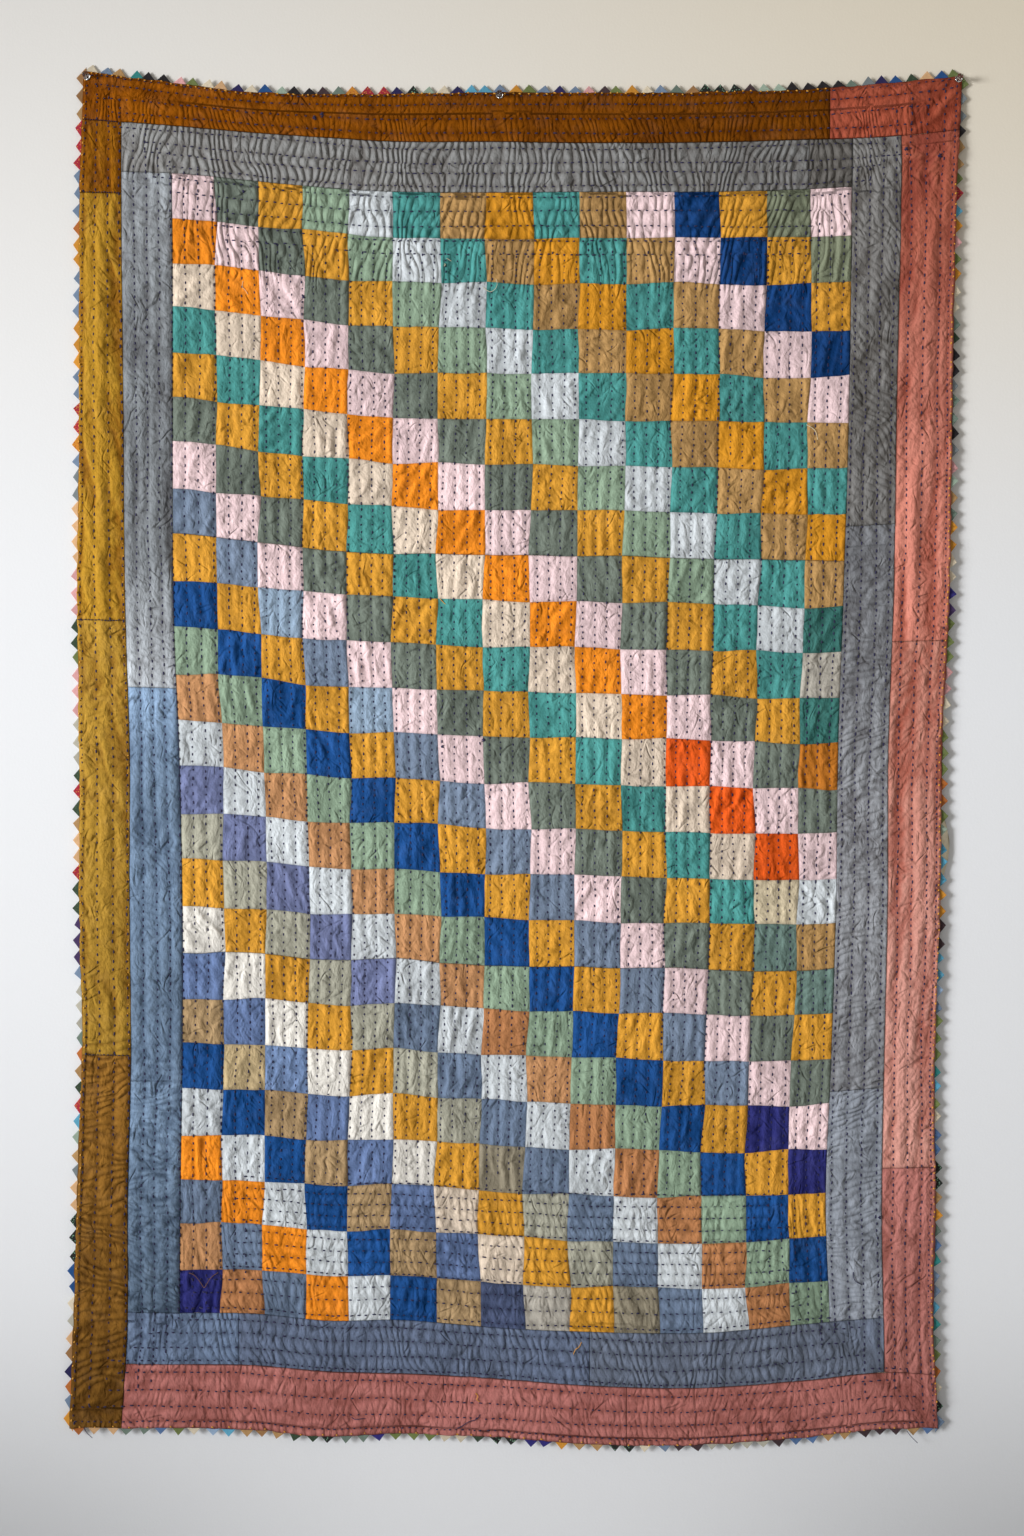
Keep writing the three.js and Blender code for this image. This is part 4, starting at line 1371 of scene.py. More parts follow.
def make_strip(strip, slot, material, cell):
    """One strip of a border."""
    name, from_across, to_across, from_down, to_down, deep, faded = strip
    u0, v0 = flat_from_pattern(from_across, from_down)
    u1, v1 = flat_from_pattern(to_across, to_down)
    part_across = stops(u1 - u0, cell, BACK_STRIDE)
    part_down = stops(v1 - v0, cell, BACK_STRIDE)
    pu, pv = np.meshgrid(part_across, part_down, indexing="ij")
    u = u0 + SEAM_GAP / 2 + pu * (u1 - u0 - SEAM_GAP)
    v = v0 + SEAM_GAP / 2 + pv * (v1 - v0 - SEAM_GAP)
    across, down = pattern_from_flat(u, v)
    x, z, front, height = front_of(across, down)
    sink = sunk(inset_of(pu, pv, u1 - u0, v1 - v0))
    back = stand_off(x, z) + TOP_BACK
    front = np.maximum(front - size_of("seam_depth") * sink, back + THINNEST)
    sheet = Sheet(f"{name}_cloth", x, z, front, back, BACK_STRIDE)
    way = pu if u1 - u0 > v1 - v0 else pv
    shades = SHADES.get(name, (1, 1))
    shade = np.interp(way, np.linspace(0, 1, len(shades)), shades)[:-1, :-1, None]
    first_deep, first_faded, reach = FIRST_DYES.get(name, (deep, faded, 1))
    turned = smooth(0.1 * reach, reach, way)[:-1, :-1, None]
    # The deep dye holds painted shade for the valleys and the faded one painted highlight for the ridges.
    for label, first, last in (("dye", first_deep, deep), ("faded", first_faded, faded)):
        colour = np.array(srgb(first)) * (1 - turned) + np.array(srgb(last)) * turned
        sheet.face_colours(label, colour * shade, srgb(last))
    sheet.relief_values(across, down, wear_and_shade_of(x, z, height), sink)
    sheet.cloth_map(u, v)
    finish_piece(sheet.piece, slot, material, name)


# ---- backing ----

# Where the backing bulges out behind the right-hand edging
BULGE = {"top": -1085, "bottom": -1192, "reach": 13}
BACKING_INSET = 1.5
BACKING_EDGE = 8
NEAREST_TO_WALL = 0.6
DEEPEST_REAR = 1.4


def quilted_rear(off, quilted):
    """How far the back's relief stands off the wall. It is flatter where there is little room."""
    room = np.clip(off - NEAREST_TO_WALL, 0, DEEPEST_REAR)
    return off - room * np.clip(0.55 * quilted, -0.3, 1)


def make_backing(material, cell):
    """The backing cloth, quilted through, with the old cloths laid in as filling before it."""
    pu, pv = np.meshgrid(
        stops(QUILT_WIDTH, cell, BACK_STRIDE, BACKING_EDGE)[::-1],
        stops(QUILT_LENGTH, cell, BACK_STRIDE, BACKING_EDGE), indexing="ij")
    u = BACKING_INSET + pu * (QUILT_WIDTH - 2 * BACKING_INSET)
    v = BACKING_INSET + pv * (QUILT_LENGTH - 2 * BACKING_INSET)
    across, down = pattern_from_flat(u, v)
    x, z = place(across, down)
    along = np.clip((z - BULGE["bottom"]) / (BULGE["top"] - BULGE["bottom"]), 0, 1)
    slack = np.sin(math.pi * along) ** 0.7 * smooth(QUILT_WIDTH - 40, QUILT_WIDTH, u)
    x = x + slack * (BULGE["reach"] + BACKING_INSET)
    off = stand_off(x, z)
    quilted = relief(across, down)
    rear = quilted_rear(off, quilted)
    inset = inset_of(pu, pv, QUILT_WIDTH, QUILT_LENGTH)
    thick = BACKING_RIM + (BACKING_MIDDLE - BACKING_RIM) * smooth(12, 30, inset)
    fore = off + thick - 0.4 * np.exp(-((inset / 3) ** 2)) + slack * 0.6 * np.sin(z / 9)
    sheet = Sheet("backing_cloth", x, z, rear, fore, BACK_STRIDE)
    colour = np.array(srgb(colours().backing))
    # The backing is darker in its valleys and lighter on its ridges: wear and painted shade.
    for name, share in (("dye", 0.82), ("faded", 1)):
        sheet.face_colours(name, np.broadcast_to(colour * share, (sheet.columns, sheet.rows, 3)), colour)
    sheet.relief_values(across, down, np.clip(0.3 + 0.3 * quilted, 0, 1), np.zeros_like(u))
    sheet.cloth_map(u, v)
    finish_piece(sheet.piece, "backing_cotton", material, "backing")
    return sheet.piece


# ---- small pieces that repeat ----

def deselect_all():
    bpy.ops.object.select_all(action="DESELECT")


def take_pattern():
    """The points, face sizes and corners of the object just modelled, which is then removed."""
    piece = bpy.context.object
    bpy.ops.object.mode_set(mode="OBJECT")
    mesh = piece.data
    points = np.array([vertex.co for vertex in mesh.vertices])
    sizes = np.array([len(face.vertices) for face in mesh.polygons])
    corners = np.concatenate([list(face.vertices) for face in mesh.polygons])
    bpy.data.objects.remove(piece)
    bpy.data.meshes.remove(mesh)
    return points, sizes, corners


def stitch_pattern():
    """One stitch from -1 to 1 along X: a round thread that dives into the cloth at both ends."""
    deselect_all()
    bpy.ops.mesh.primitive_uv_sphere_add(
        segments=4, ring_count=3, radius=1, rotation=(0, math.radians(90), 0))
    bpy.ops.object.transform_apply(rotation=True)
    return take_pattern()


def plain_stitch_pattern():
    """One stitch from -1 to 1 along X, as two square cones set base to base."""
    deselect_all()
    bpy.ops.mesh.primitive_cone_add(
        vertices=4, radius1=1, depth=1, end_fill_type="NOTHING", location=(0, 0, 0.5))
    bpy.ops.object.transform_apply(location=True)
    bpy.ops.object.mode_set(mode="EDIT")
    bpy.ops.mesh.select_all(action="SELECT")
    bpy.ops.mesh.symmetrize(direction="POSITIVE_Z")
    bpy.ops.mesh.select_all(action="SELECT")
    bpy.ops.transform.rotate(value=math.radians(90), orient_axis="Y", center_override=(0, 0, 0))
    bpy.ops.mesh.normals_make_consistent(inside=False)
    return take_pattern()


def point_pattern():
    """One folded point: its tip at Y = 1, its base at Y = 0, half its base at X = 1, 1 thick."""
    deselect_all()
    bpy.ops.mesh.primitive_circle_add(vertices=3, radius=1, fill_type="NGON")
    bpy.ops.object.mode_set(mode="EDIT")
    bpy.ops.mesh.select_all(action="SELECT")
    bpy.ops.transform.translate(value=(0, 0.5, 0))
    bpy.ops.transform.resize(value=(1 / math.sin(math.radians(60)), 1 / 1.5, 1), center_override=(0, 0, 0))
    bpy.ops.mesh.inset(thickness=0.06)
    bpy.ops.mesh.select_all(action="SELECT")
    bpy.ops.mesh.bisect(plane_co=(0.02, 0, 0), plane_no=(1, 0.05, 0))
    bpy.ops.mesh.select_all(action="SELECT")
    bpy.ops.mesh.extrude_region_move(TRANSFORM_OT_translate={"value": (0, 0, 1)})
    bpy.ops.mesh.select_all(action="SELECT")
    bpy.ops.mesh.normals_make_consistent(inside=False)
    points, sizes, corners = take_pattern()
    edge = np.minimum(1 - np.abs(points[:, 0]) - points[:, 1], points[:, 1])
    is_rim = edge < 0.03
    is_slit = np.abs(points[:, 0] - 0.02) < 0.09
    front = points[:, 2] > 0.5
    points[front & is_rim, 2] = 0.62
    points[front & is_slit & ~is_rim, 2] = 0.72
    points[front & (points[:, 0] > 0.09) & ~is_rim, 2] = 1.12
    return points, sizes, corners


def copies(name, pattern, places, smooth_faces=True):
    """One mesh of many copies of a pattern, from the places of all their points in mm."""
    points, sizes, corners = pattern
    count = len(places)
    shift = np.repeat(np.arange(count) * len(points), len(corners))
    piece = new_mesh_object(
        name, places.reshape(-1, 3), np.tile(sizes, count), np.tile(corners, count) + shift)
    piece.data.polygons.foreach_set("use_smooth", np.full(len(sizes) * count, smooth_faces))
    return piece


# ---- stitches ----

# How unevenly the stitches of a row are sewn: in pitch and length as shares, in mm to the side and
# in radians
UNEVEN_PITCH = 0.18
UNEVEN_LENGTH = 0.2
STITCH_STRAY = 0.35
STITCH_TURN = 0.07


def stitch_row(random, start, end, length, pitch, lean=0.0, uneven=UNEVEN_PITCH):
    """The middles, directions and lengths of the stitches of one row on the flat quilt."""
    start = np.array(start, float)
    end = np.array(end, float)
    whole = np.linalg.norm(end - start)
    along = (end - start) / whole
    pitch = pitch * random.uniform(0.92, 1.12)
    count = int(whole / pitch)
    steps = pitch * (1 + uneven * random.uniform(-1, 1, count))
    at = np.cumsum(steps) - steps[0] * random.uniform(0, 1)
    at = at[at < whole]
    middles = start + along * at[:, None]
    across = np.array([-along[1], along[0]])
    middles = middles + across * random.normal(0, STITCH_STRAY, len(at))[:, None]
    tilt = lean + random.normal(0, STITCH_TURN, len(at))[:, None]
    directions = along * np.cos(tilt) + across * np.sin(tilt)
    lengths = length * (1 + UNEVEN_LENGTH * random.normal(0, 1, len(at)).clip(-1.8, 1.8))
    return np.concatenate([middles, directions, lengths[:, None]], 1)


# How far the rows of a ring run on past its corners at most, and how much longer the pitch is in its
# left row, in the outer border and inside it
RUN_PAST = 55
OUTER_LEFT_PITCH = 1.3
INNER_LEFT_PITCH = 1.08

# The outermost ring's stitches and pitches in its level and upright rows, as shares of the others'
FIRST_RING_SHARES = (0.85, 0.9, 0.8)
STRAIGHT_LENGTH = 0.84


def ring_rows(random, ring, length, level_pitch, upright_pitch):
    """The four rows of one ring round the quilt, which run a little past its corners."""
    left, top = ring[:2]
    right = QUILT_WIDTH - ring[2]
    bottom = QUILT_LENGTH - ring[3]
    past = np.minimum(random.uniform(0, RUN_PAST, 8), 0.55 * min(left, top))
    is_outer = left < FLAT_ACROSS[1]
    left_pitch = upright_pitch * (OUTER_LEFT_PITCH if is_outer else INNER_LEFT_PITCH)
    return [
        stitch_row(random, (left - past[0], top), (right + past[1], top), length, level_pitch),
        stitch_row(random, (left - past[2], bottom), (right + past[3], bottom), length, level_pitch),
        stitch_row(random, (left, top - past[4]), (left, bottom + past[5]), length, left_pitch),
        stitch_row(random, (right, top - past[6]), (right, bottom + past[7]), length, upright_pitch),
    ]


def sew(name, pattern, stitches, thread, surface, outward=-1, lift=0.45):
    """Stitches laid on a surface, which gives x, z and the distance from the wall at a place.

    stitches has a row each: u, v, direction u, direction v and length on the flat quilt. outward is
    -1 for stitches on the front and 1 for those on the back. lift raises them by a share of half
    their thread, and their ends dive back into the cloth.
    """
    u, v, du, dv, length = stitches.T
    ends = []
    for part in (-1, 0, 1):
        su = u + part * du * length / 2
        sv = v + part * dv * length / 2
        shift_u, shift_v = wobble(su, sv)
        x, z, off = surface(su - shift_u, sv - shift_v)
        ends.append(np.stack([x, -off, z], -1))
    before, middle, after = (end[:, None, :] for end in ends)
    a, b, c = pattern[0].T
    a = a[None, :, None]
    line = before * (a * a - a) / 2 + middle * (1 - a * a) + after * (a * a + a) / 2
    heading = after - before
    heading = heading / np.linalg.norm(heading, axis=-1, keepdims=True)
    out = np.array([0.0, outward, 0.0])
    sideways = np.cross(out, heading)
    sideways = sideways / np.linalg.norm(sideways, axis=-1, keepdims=True)
    half = thread / 2
    rise = half * (c[None, :, None] + lift) - 0.9 * half * np.abs(a) ** 3
    points = line + sideways * b[None, :, None] * half + out * rise
    return copies(name, pattern, points)


def front_surface(u, v):
    x, z, off, _ = front_of(*pattern_from_flat(u, v))
    return x, z, off


def back_surface(u, v):
    across, down = pattern_from_flat(u, v)
    x, z = place(across, down)
    return x, z, quilted_rear(stand_off(x, z), relief(across, down))


# ---- edging ----

# Dyes of the scraps that the points are folded from
PLAIN_SCRAPS = {
    "black": "#1d191d",
    "blue": "#1c4c86",
    "brown": "#9a7248",
    "cream": "#d8ccb4",
    "denim": "#52709c",
    "gold": "#d08f30",
    "green_grey": "#6c7d72",
    "grey": "#7d868a",
    "indigo": "#2e2a78",
    "light_blue": "#9db8d6",
    "maroon": "#3f2e33",
    "navy": "#262256",
    "olive": "#6f7c47",
    "pale_green": "#9fb3a2",
    "pale_grey": "#b3b0a2",
    "peach": "#d9ae80",
    "pink": "#dba3a4",
    "purple": "#45335f",
    "rust": "#b4692f",
    "sky": "#5aa3c2",
    "slate": "#7286a0",
    "tan": "#b28c5c",
    "teal": "#2f8583",
}
PRINTED_SCRAPS = {
    # dye  second colour  how much of it shows
    "black_print": ("#1b201d", "#86b795", 0.9),
    "dark_green": ("#344634", "#5d7a55", 0.4),
    "gold_print": ("#d38b2c", "#a3262e", 0.8),
    "red_print": ("#a8263a", "#e3a03c", 0.8),
}
SCRAPS = {name: (dye, dye, 0) for name, dye in PLAIN_SCRAPS.items()} | PRINTED_SCRAPS

# How far the points reach past the edge, half their width there, and their scraps in order.
EDGINGS = {
    "top": (
        12.4, 11.2,
        "cream slate tan teal black*2 pink olive cream peach navy cream blue pale_green black*2 "
        "maroon green_grey gold_print red_print*2 navy black_print pale_green cream navy sky*2 slate "
        "gold olive slate navy slate pink maroon olive gold cream slate green_grey brown "
        "black_print*3 maroon pale_green*2 black*4 green_grey grey navy blue dark_green peach blue "
        "olive",
    ),
    "left": (
        9.8, 12,
        "brown*2 tan red_print*3 slate*3 rust gold*2 slate*3 gold*3 slate*2 red_print*2 gold_print "
        "slate grey*2 peach*4 pink*3 dark_green*2 olive pink*3 pale_grey*3 dark_green red_print "
        "dark_green tan peach*2 red_print dark_green*2 purple*3 slate pale_grey*3 green_grey rust tan "
        "dark_green red_print sky pale_green tan grey peach*2 black_print*3 blue*2 cream pale_grey "
        "peach brown navy rust slate gold",
    ),
    "right": (
        10.2, 10.9,
        "olive grey*2 black tan*2 olive red_print sky gold pink olive gold cream*2 green_grey "
        "dark_green black*2 grey green_grey*2 black grey pink pale_green tan green_grey gold*2 "
        "cream*2 indigo purple olive*3 pink*2 cream*2 olive*3 rust*2 olive pale_green sky*3 gold*2 "
        "maroon*2 sky*2 light_blue slate olive*3 teal sky olive cream denim*2 black_print*2 tan gold "
        "green_grey denim teal slate*2 sky teal green_grey olive rust cream black_print slate",
    ),
    "bottom": (
        10.6, 9.8,
        "rust peach*2 green_grey*2 denim olive cream light_blue sky tan brown tan dark_green*2 "
        "black_print green_grey*2 indigo olive*3 cream*2 dark_green black_print*2 indigo*2 gold tan*2 "
        "black_print*2 cream slate maroon*2 pale_grey*4 maroon denim*2 tan*2 maroon*3 tan denim",
    ),
}
POINT_THICKNESS = 1.1
POINT_TUCK = 4.5
POINT_LEAN = 2.2
POINT_SHADES = 0.12

# The edge's direction at a point is taken from this far on either side of it.
EDGE_STEP = 6


def edge_line(side, count=800):
    """Places along one edge on the flat quilt, where they hang and how far along the edge they are."""
    t = np.linspace(0, 1, count)
    ends = np.zeros(count)
    u, v = {
        "top": (t * QUILT_WIDTH, ends),
        "bottom": (t * QUILT_WIDTH, ends + QUILT_LENGTH),
        "left": (ends, t * QUILT_LENGTH),
        "right": (ends + QUILT_WIDTH, t * QUILT_LENGTH),
    }[side]
    x, z = place(*pattern_from_flat(u, v))
    run = np.concatenate([[0], np.cumsum(np.hypot(np.diff(x), np.diff(z)))])
    return x, z, run


def scrap_order(scraps):
    """The scraps of one edging in order, where a name may say how many are alike."""
    order = []
    for word in scraps.split():
        name, _, alike = word.partition("*")
        order += [name] * int(alike or 1)
    return order


def make_edging(side, pattern, material):
    """The folded points along one side, sewn in between the top and the backing."""
    reach, half_width, scraps = EDGINGS[side]
    x, z, run = edge_line(side)
    order = scrap_order(scraps)
    count = len(order)
    random = np.random.default_rng({"top": 1, "left": 2, "right": 3, "bottom": 4}[side])
    at = (np.arange(count) + 0.5 + 0.1 * random.uniform(-1, 1, count)) * run[-1] / count
    px = np.interp(at, run, x)
    pz = np.interp(at, run, z)
    ahead = np.stack([
        np.interp(at + EDGE_STEP, run, line) - np.interp(at - EDGE_STEP, run, line)
        for line in (x, z)
    ], -1)
    ahead = ahead / np.linalg.norm(ahead, axis=1, keepdims=True)
    turn = 1 if side in ("top", "right") else -1
    out = turn * np.stack([-ahead[:, 1], ahead[:, 0]], -1)
    height = reach * (1 + 0.1 * random.uniform(-1, 1, count))
    half = half_width * (1 + 0.08 * random.uniform(-1, 1, count)) * (height + POINT_TUCK) / height
    lean = POINT_LEAN * random.uniform(-1, 1, count)
    a, b, c = pattern[0].T
    along = turn * (a[None, :] * half[:, None] + lean[:, None] * b[None, :])
    outward = -POINT_TUCK + b[None, :] * (height + POINT_TUCK)[:, None]
    wx = px[:, None] + ahead[:, 0:1] * along + out[:, 0:1] * outward
    wz = pz[:, None] + ahead[:, 1:2] * along + out[:, 1:2] * outward
    base = stand_off(px, pz) + POINT_BACK
    curl = random.uniform(-1.3, 0.3, count) - (1 if side == "top" else 0)
    off = base[:, None] + POINT_THICKNESS * c[None, :] * 0.9 + curl[:, None] * b[None, :] ** 2
    off = off + 0.12 * (np.arange(count) % 2)[:, None]
    piece = copies(f"edging_points_{side}", pattern, np.stack([wx, -off, wz], -1), False)
    corners = len(pattern[2])
    shades = 1 + POINT_SHADES * random.uniform(-1, 1, count)
    for name, index in (("dye", 0), ("faded", 1)):
        dyes = np.array([np.array(srgb(SCRAPS[s][index])) * k for s, k in zip(order, shades)])
        values = np.ones((count * corners, 4))
        values[:, :3] = np.repeat(dyes, corners, axis=0)
        set_attribute(piece, name, "FLOAT_COLOR", "CORNER", values)
    prints = np.repeat([SCRAPS[s][2] for s in order], len(pattern[0]))
    set_attribute(piece, "print", "FLOAT", "POINT", prints)
    return finish_piece(piece, "point_cotton", material, f"edging_{side}")


# ---- loose threads ----

LOOSE_THREADS = (
    # thread, width and the places it goes through: x, z and how far it stands off the cloth
    ("thread", 1.1, ((-224, -2003, 0), (-218, -2007, 1.5), (-210, -2004, 2), (-203, -2005, 0.5))),
    ("thread", 1.2, ((-29, -1998, 0), (-33, -2006, 2), (-46, -2008, 2.5), (-57, -2016, 2),
                     (-64, -2020, 0.6))),
    ("gold", 1.2, ((-36, -1966, 0), (-31, -1970, 2), (-36, -1975, 2.4), (-30, -1979, 0.4))),
    ("gold", 1.1, ((124, -1889, 0), (121, -1896, 2), (114, -1899, 2.2), (112, -1907, 0.5))),
    ("brown", 1.1, ((-470, -1784, 0), (-463, -1786, 2), (-458, -1791, 2.4), (-451, -1800, 2.4),
                    (-447, -1808, 2), (-443, -1801, 2.4), (-436, -1789, 2), (-426, -1784, 0.5))),
    ("cream", 1.0, ((465, -500, 0), (474, -505, 2), (480, -512, 2.2), (482, -523, 0.5))),
    ("thread", 1.2, ((536, -1783, 0), (535, -1792, 2), (541, -1799, 2), (549, -1802, 0.5))),
    ("cream", 0.8, ((-24, -292, 0), (-17, -300, 2), (-8, -298, 2.4), (-2, -288, 2), (-5, -280, 0.5))),
    ("cream", 0.9, ((-80, -248, 0.2), (-76, -250, 1.2), (-73, -252, 0.4))),
    ("cream", 1.1, ((-83, -256, 0.2), (-81, -259, 1.3), (-84, -260, 0.4))),
    ("gold", 1.0, ((-90, -764, 0), (-86, -768, 1.8), (-82, -772, 0.5))),
    ("thread", 1.0, ((-629, -2019, 0), (-625, -2026, 2), (-620, -2030, 2), (-616, -2034, 1))),
    ("thread", 1.0, ((617, -2024, 0), (622, -2031, 2), (628, -2037, 2), (633, -2042, 1))),
    ("cream", 0.7, ((-388, -283, 0), (-391, -291, 1.5), (-384, -297, 1.8), (-381, -303, 0.4))),
)
THREAD_COLOURS = {"brown": (0.45, 0.3, 0.2), "cream": (0.86, 0.82, 0.7)}

# Knots where a new thread was joined on.
KNOTS = (
    # x  z  size  turned, in degrees
    (6, -855, 6, 80),
    (-84, -987, 6, 20),
    (-25, -978, 7, 100),
    (-106, -810, 7, 10),
    (-298, -306, 6, 70),
    (-424, -172, 6, 60),
    (-386, -146, 5, 150),
    (-279, -34, 9, 35),
    (-268, -28, 8, 40),
    (618, -82, 9, 60),
    (667, -92, 9, 45),
    (575, -1700, 6, 30),
)
KNOT_TURNS = (0, 62, 118)


def pattern_at(x, z):
    """The pattern numbers of a place on the hung quilt."""
    u = np.asarray(x, float) + QUILT_WIDTH / 2
    v = -np.asarray(z, float)
    for _ in range(8):
        here_x, here_z = place(*pattern_from_flat(u, v))
        u = np.clip(u + x - here_x, 0, QUILT_WIDTH)
        v = np.clip(v - z + here_z, 0, QUILT_LENGTH)
    return pattern_from_flat(u, v)


def make_loose_thread(name, width, places, material):
    """A thread end that stands out of the cloth, as a thin tube."""
    spots = np.array(places, float)
    _, _, off, _ = front_of(*pattern_at(spots[:, 0], spots[:, 1]))
    curve = bpy.data.curves.new(name, "CURVE")
    curve.dimensions = "3D"
    curve.bevel_depth = width / 2 * MM
    curve.bevel_resolution = 1
    curve.resolution_u = 6
    curve.use_fill_caps = True
    line = curve.splines.new("NURBS")
    line.points.add(len(spots) - 1)
    for point, (x, z, rise), front in zip(line.points, spots, off):
        point.co = (x * MM, -(front + rise) * MM, z * MM, 1)
    line.use_endpoint_u = True
    line.order_u = 3
    piece = bpy.data.objects.new(name, curve)
    bpy.context.scene.collection.objects.link(piece)
    deselect_all()
    piece.select_set(True)
    bpy.context.view_layer.objects.active = piece
    bpy.ops.object.convert(target="MESH")
    piece = bpy.context.object
    piece.data.polygons.foreach_set("use_smooth", np.ones(len(piece.data.polygons), bool))
    return finish_piece(piece, "point_cotton", material)


# ---- push pins ----

# The grip's radius, at distances in front of its seat
GRIP_PROFILE = (
    (5.0, 0.0), (5.3, 0.35), (5.3, 1.2), (4.9, 1.7), (3.6, 2.3), (2.85, 3.4), (2.7, 5.0),
    (2.9, 7.2), (3.35, 9.4), (3.95, 11.3), (4.3, 12.5), (4.3, 13.6), (4.0, 14.2), (3.2, 14.5),
)
GRIP_BORE = (0.8, 7.9)
GRIP_SIDES = 40


def make_grip(name, material):
    """The turned grip of one push pin, raised from a circle, with the bore that its needle sits in."""
    x, z = PINS[name]
    axis = Vector((x * MM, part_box(f"pin_grip_{name}")[1][1], z * MM))
    radius, front = GRIP_PROFILE[0]
    deselect_all()
    bpy.ops.mesh.primitive_circle_add(
        vertices=GRIP_SIDES, radius=radius * MM, fill_type="NGON", location=axis,
        rotation=(math.radians(90), 0, 0))
    bpy.ops.object.mode_set(mode="EDIT")
    bpy.ops.mesh.select_all(action="SELECT")
    for next_radius, next_front in GRIP_PROFILE[1:]:
        step = (0, -(next_front - front) * MM, 0)
        bpy.ops.mesh.extrude_region_move(TRANSFORM_OT_translate={"value": step})
        size = next_radius / radius
        bpy.ops.transform.resize(value=(size, 1, size), center_override=axis)
        radius, front = next_radius, next_front
    bpy.ops.mesh.select_mode(type="FACE")
    bpy.ops.mesh.select_all(action="DESELECT")
    bpy.ops.object.mode_set(mode="OBJECT")
    piece = bpy.context.object
    for face in piece.data.polygons:
        at_seat = abs((piece.matrix_world @ face.center).y - axis.y) < 1e-6
        face.select = at_seat and len(face.vertices) == GRIP_SIDES
    bpy.ops.object.mode_set(mode="EDIT")
    bore_radius, bore_depth = GRIP_BORE
    bpy.ops.mesh.inset(thickness=(GRIP_PROFILE[0][0] - bore_radius) * MM)
    bpy.ops.mesh.extrude_region_move(TRANSFORM_OT_translate={"value": (0, -bore_depth * MM, 0)})
    bpy.ops.mesh.select_all(action="SELECT")
    bpy.ops.mesh.normals_make_consistent(inside=False)
    bpy.ops.mesh.select_mode(type="VERT")
    bpy.ops.object.mode_set(mode="OBJECT")
    bpy.ops.object.transform_apply(location=True, rotation=True, scale=True)
    bpy.ops.object.shade_smooth_by_angle(angle=math.radians(50))
    piece.name = f"push_pin_{name}"
    return finish_piece(piece, "clear_plastic", material, f"pin_grip_{name}")


# ---- operators ----

class QUILT_OT_materials(bpy.types.Operator):
    """Makes the shader groups that the cloth finishes share, and finishes the steel needles"""

    bl_idname = "quilt.materials"
    bl_label = "Cloth finishes"

    def execute(self, context):
        GROUPS["woven cotton"] = woven_cotton_group()
        GROUPS["crinkles"] = crinkle_group()
        steel = steel_material()
        for name in PINS:
            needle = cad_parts[f"pin_needle_{name}"]
            for slot in needle.material_slots:
                slot.material = steel
        return {"FINISHED"}


class QUILT_OT_field(bpy.types.Operator):
    """Adds the field of square patches, in three bands of rows"""

    bl_idname = "quilt.field"
    bl_label = "Patchwork field"

    def execute(self, context):
        for name, first, last in ROW_BANDS:
            cells = context.scene.quilt_sizes.patch_cells
            make_field_band(f"patches_{name}", first, last, cells, finish("patch cotton"))
        return {"FINISHED"}


class QUILT_OT_inner_border(bpy.types.Operator):
    """Adds the slate strips round the patches"""

    bl_idname = "quilt.inner_border"
    bl_label = "Inner border"

    def execute(self, context):
        for strip in INNER_STRIPS:
            make_strip(strip, "slate_cotton", finish("strip cotton"), size_of("strip_cell"))
        return {"FINISHED"}


class QUILT_OT_outer_border(bpy.types.Operator):
    """Adds the ochre and rose strips round the slate ones"""

    bl_idname = "quilt.outer_border"
    bl_label = "Outer border"

    def execute(self, context):
        for strip in OUTER_STRIPS:
            is_rose = any(word in strip[0] for word in ("right", "bottom", "rose"))
            slot = "rose_cotton" if is_rose else "ochre_cotton"
            make_strip(strip, slot, finish("strip cotton"), size_of("strip_cell"))
        return {"FINISHED"}


class QUILT_OT_edging(bpy.types.Operator):
    """Adds the folded points along the four sides"""

    bl_idname = "quilt.edging"
    bl_label = "Edging of points"

    def execute(self, context):
        pattern = point_pattern()
        material = scrap_material()
        for side in EDGINGS:
            make_edging(side, pattern, material)
        return {"FINISHED"}


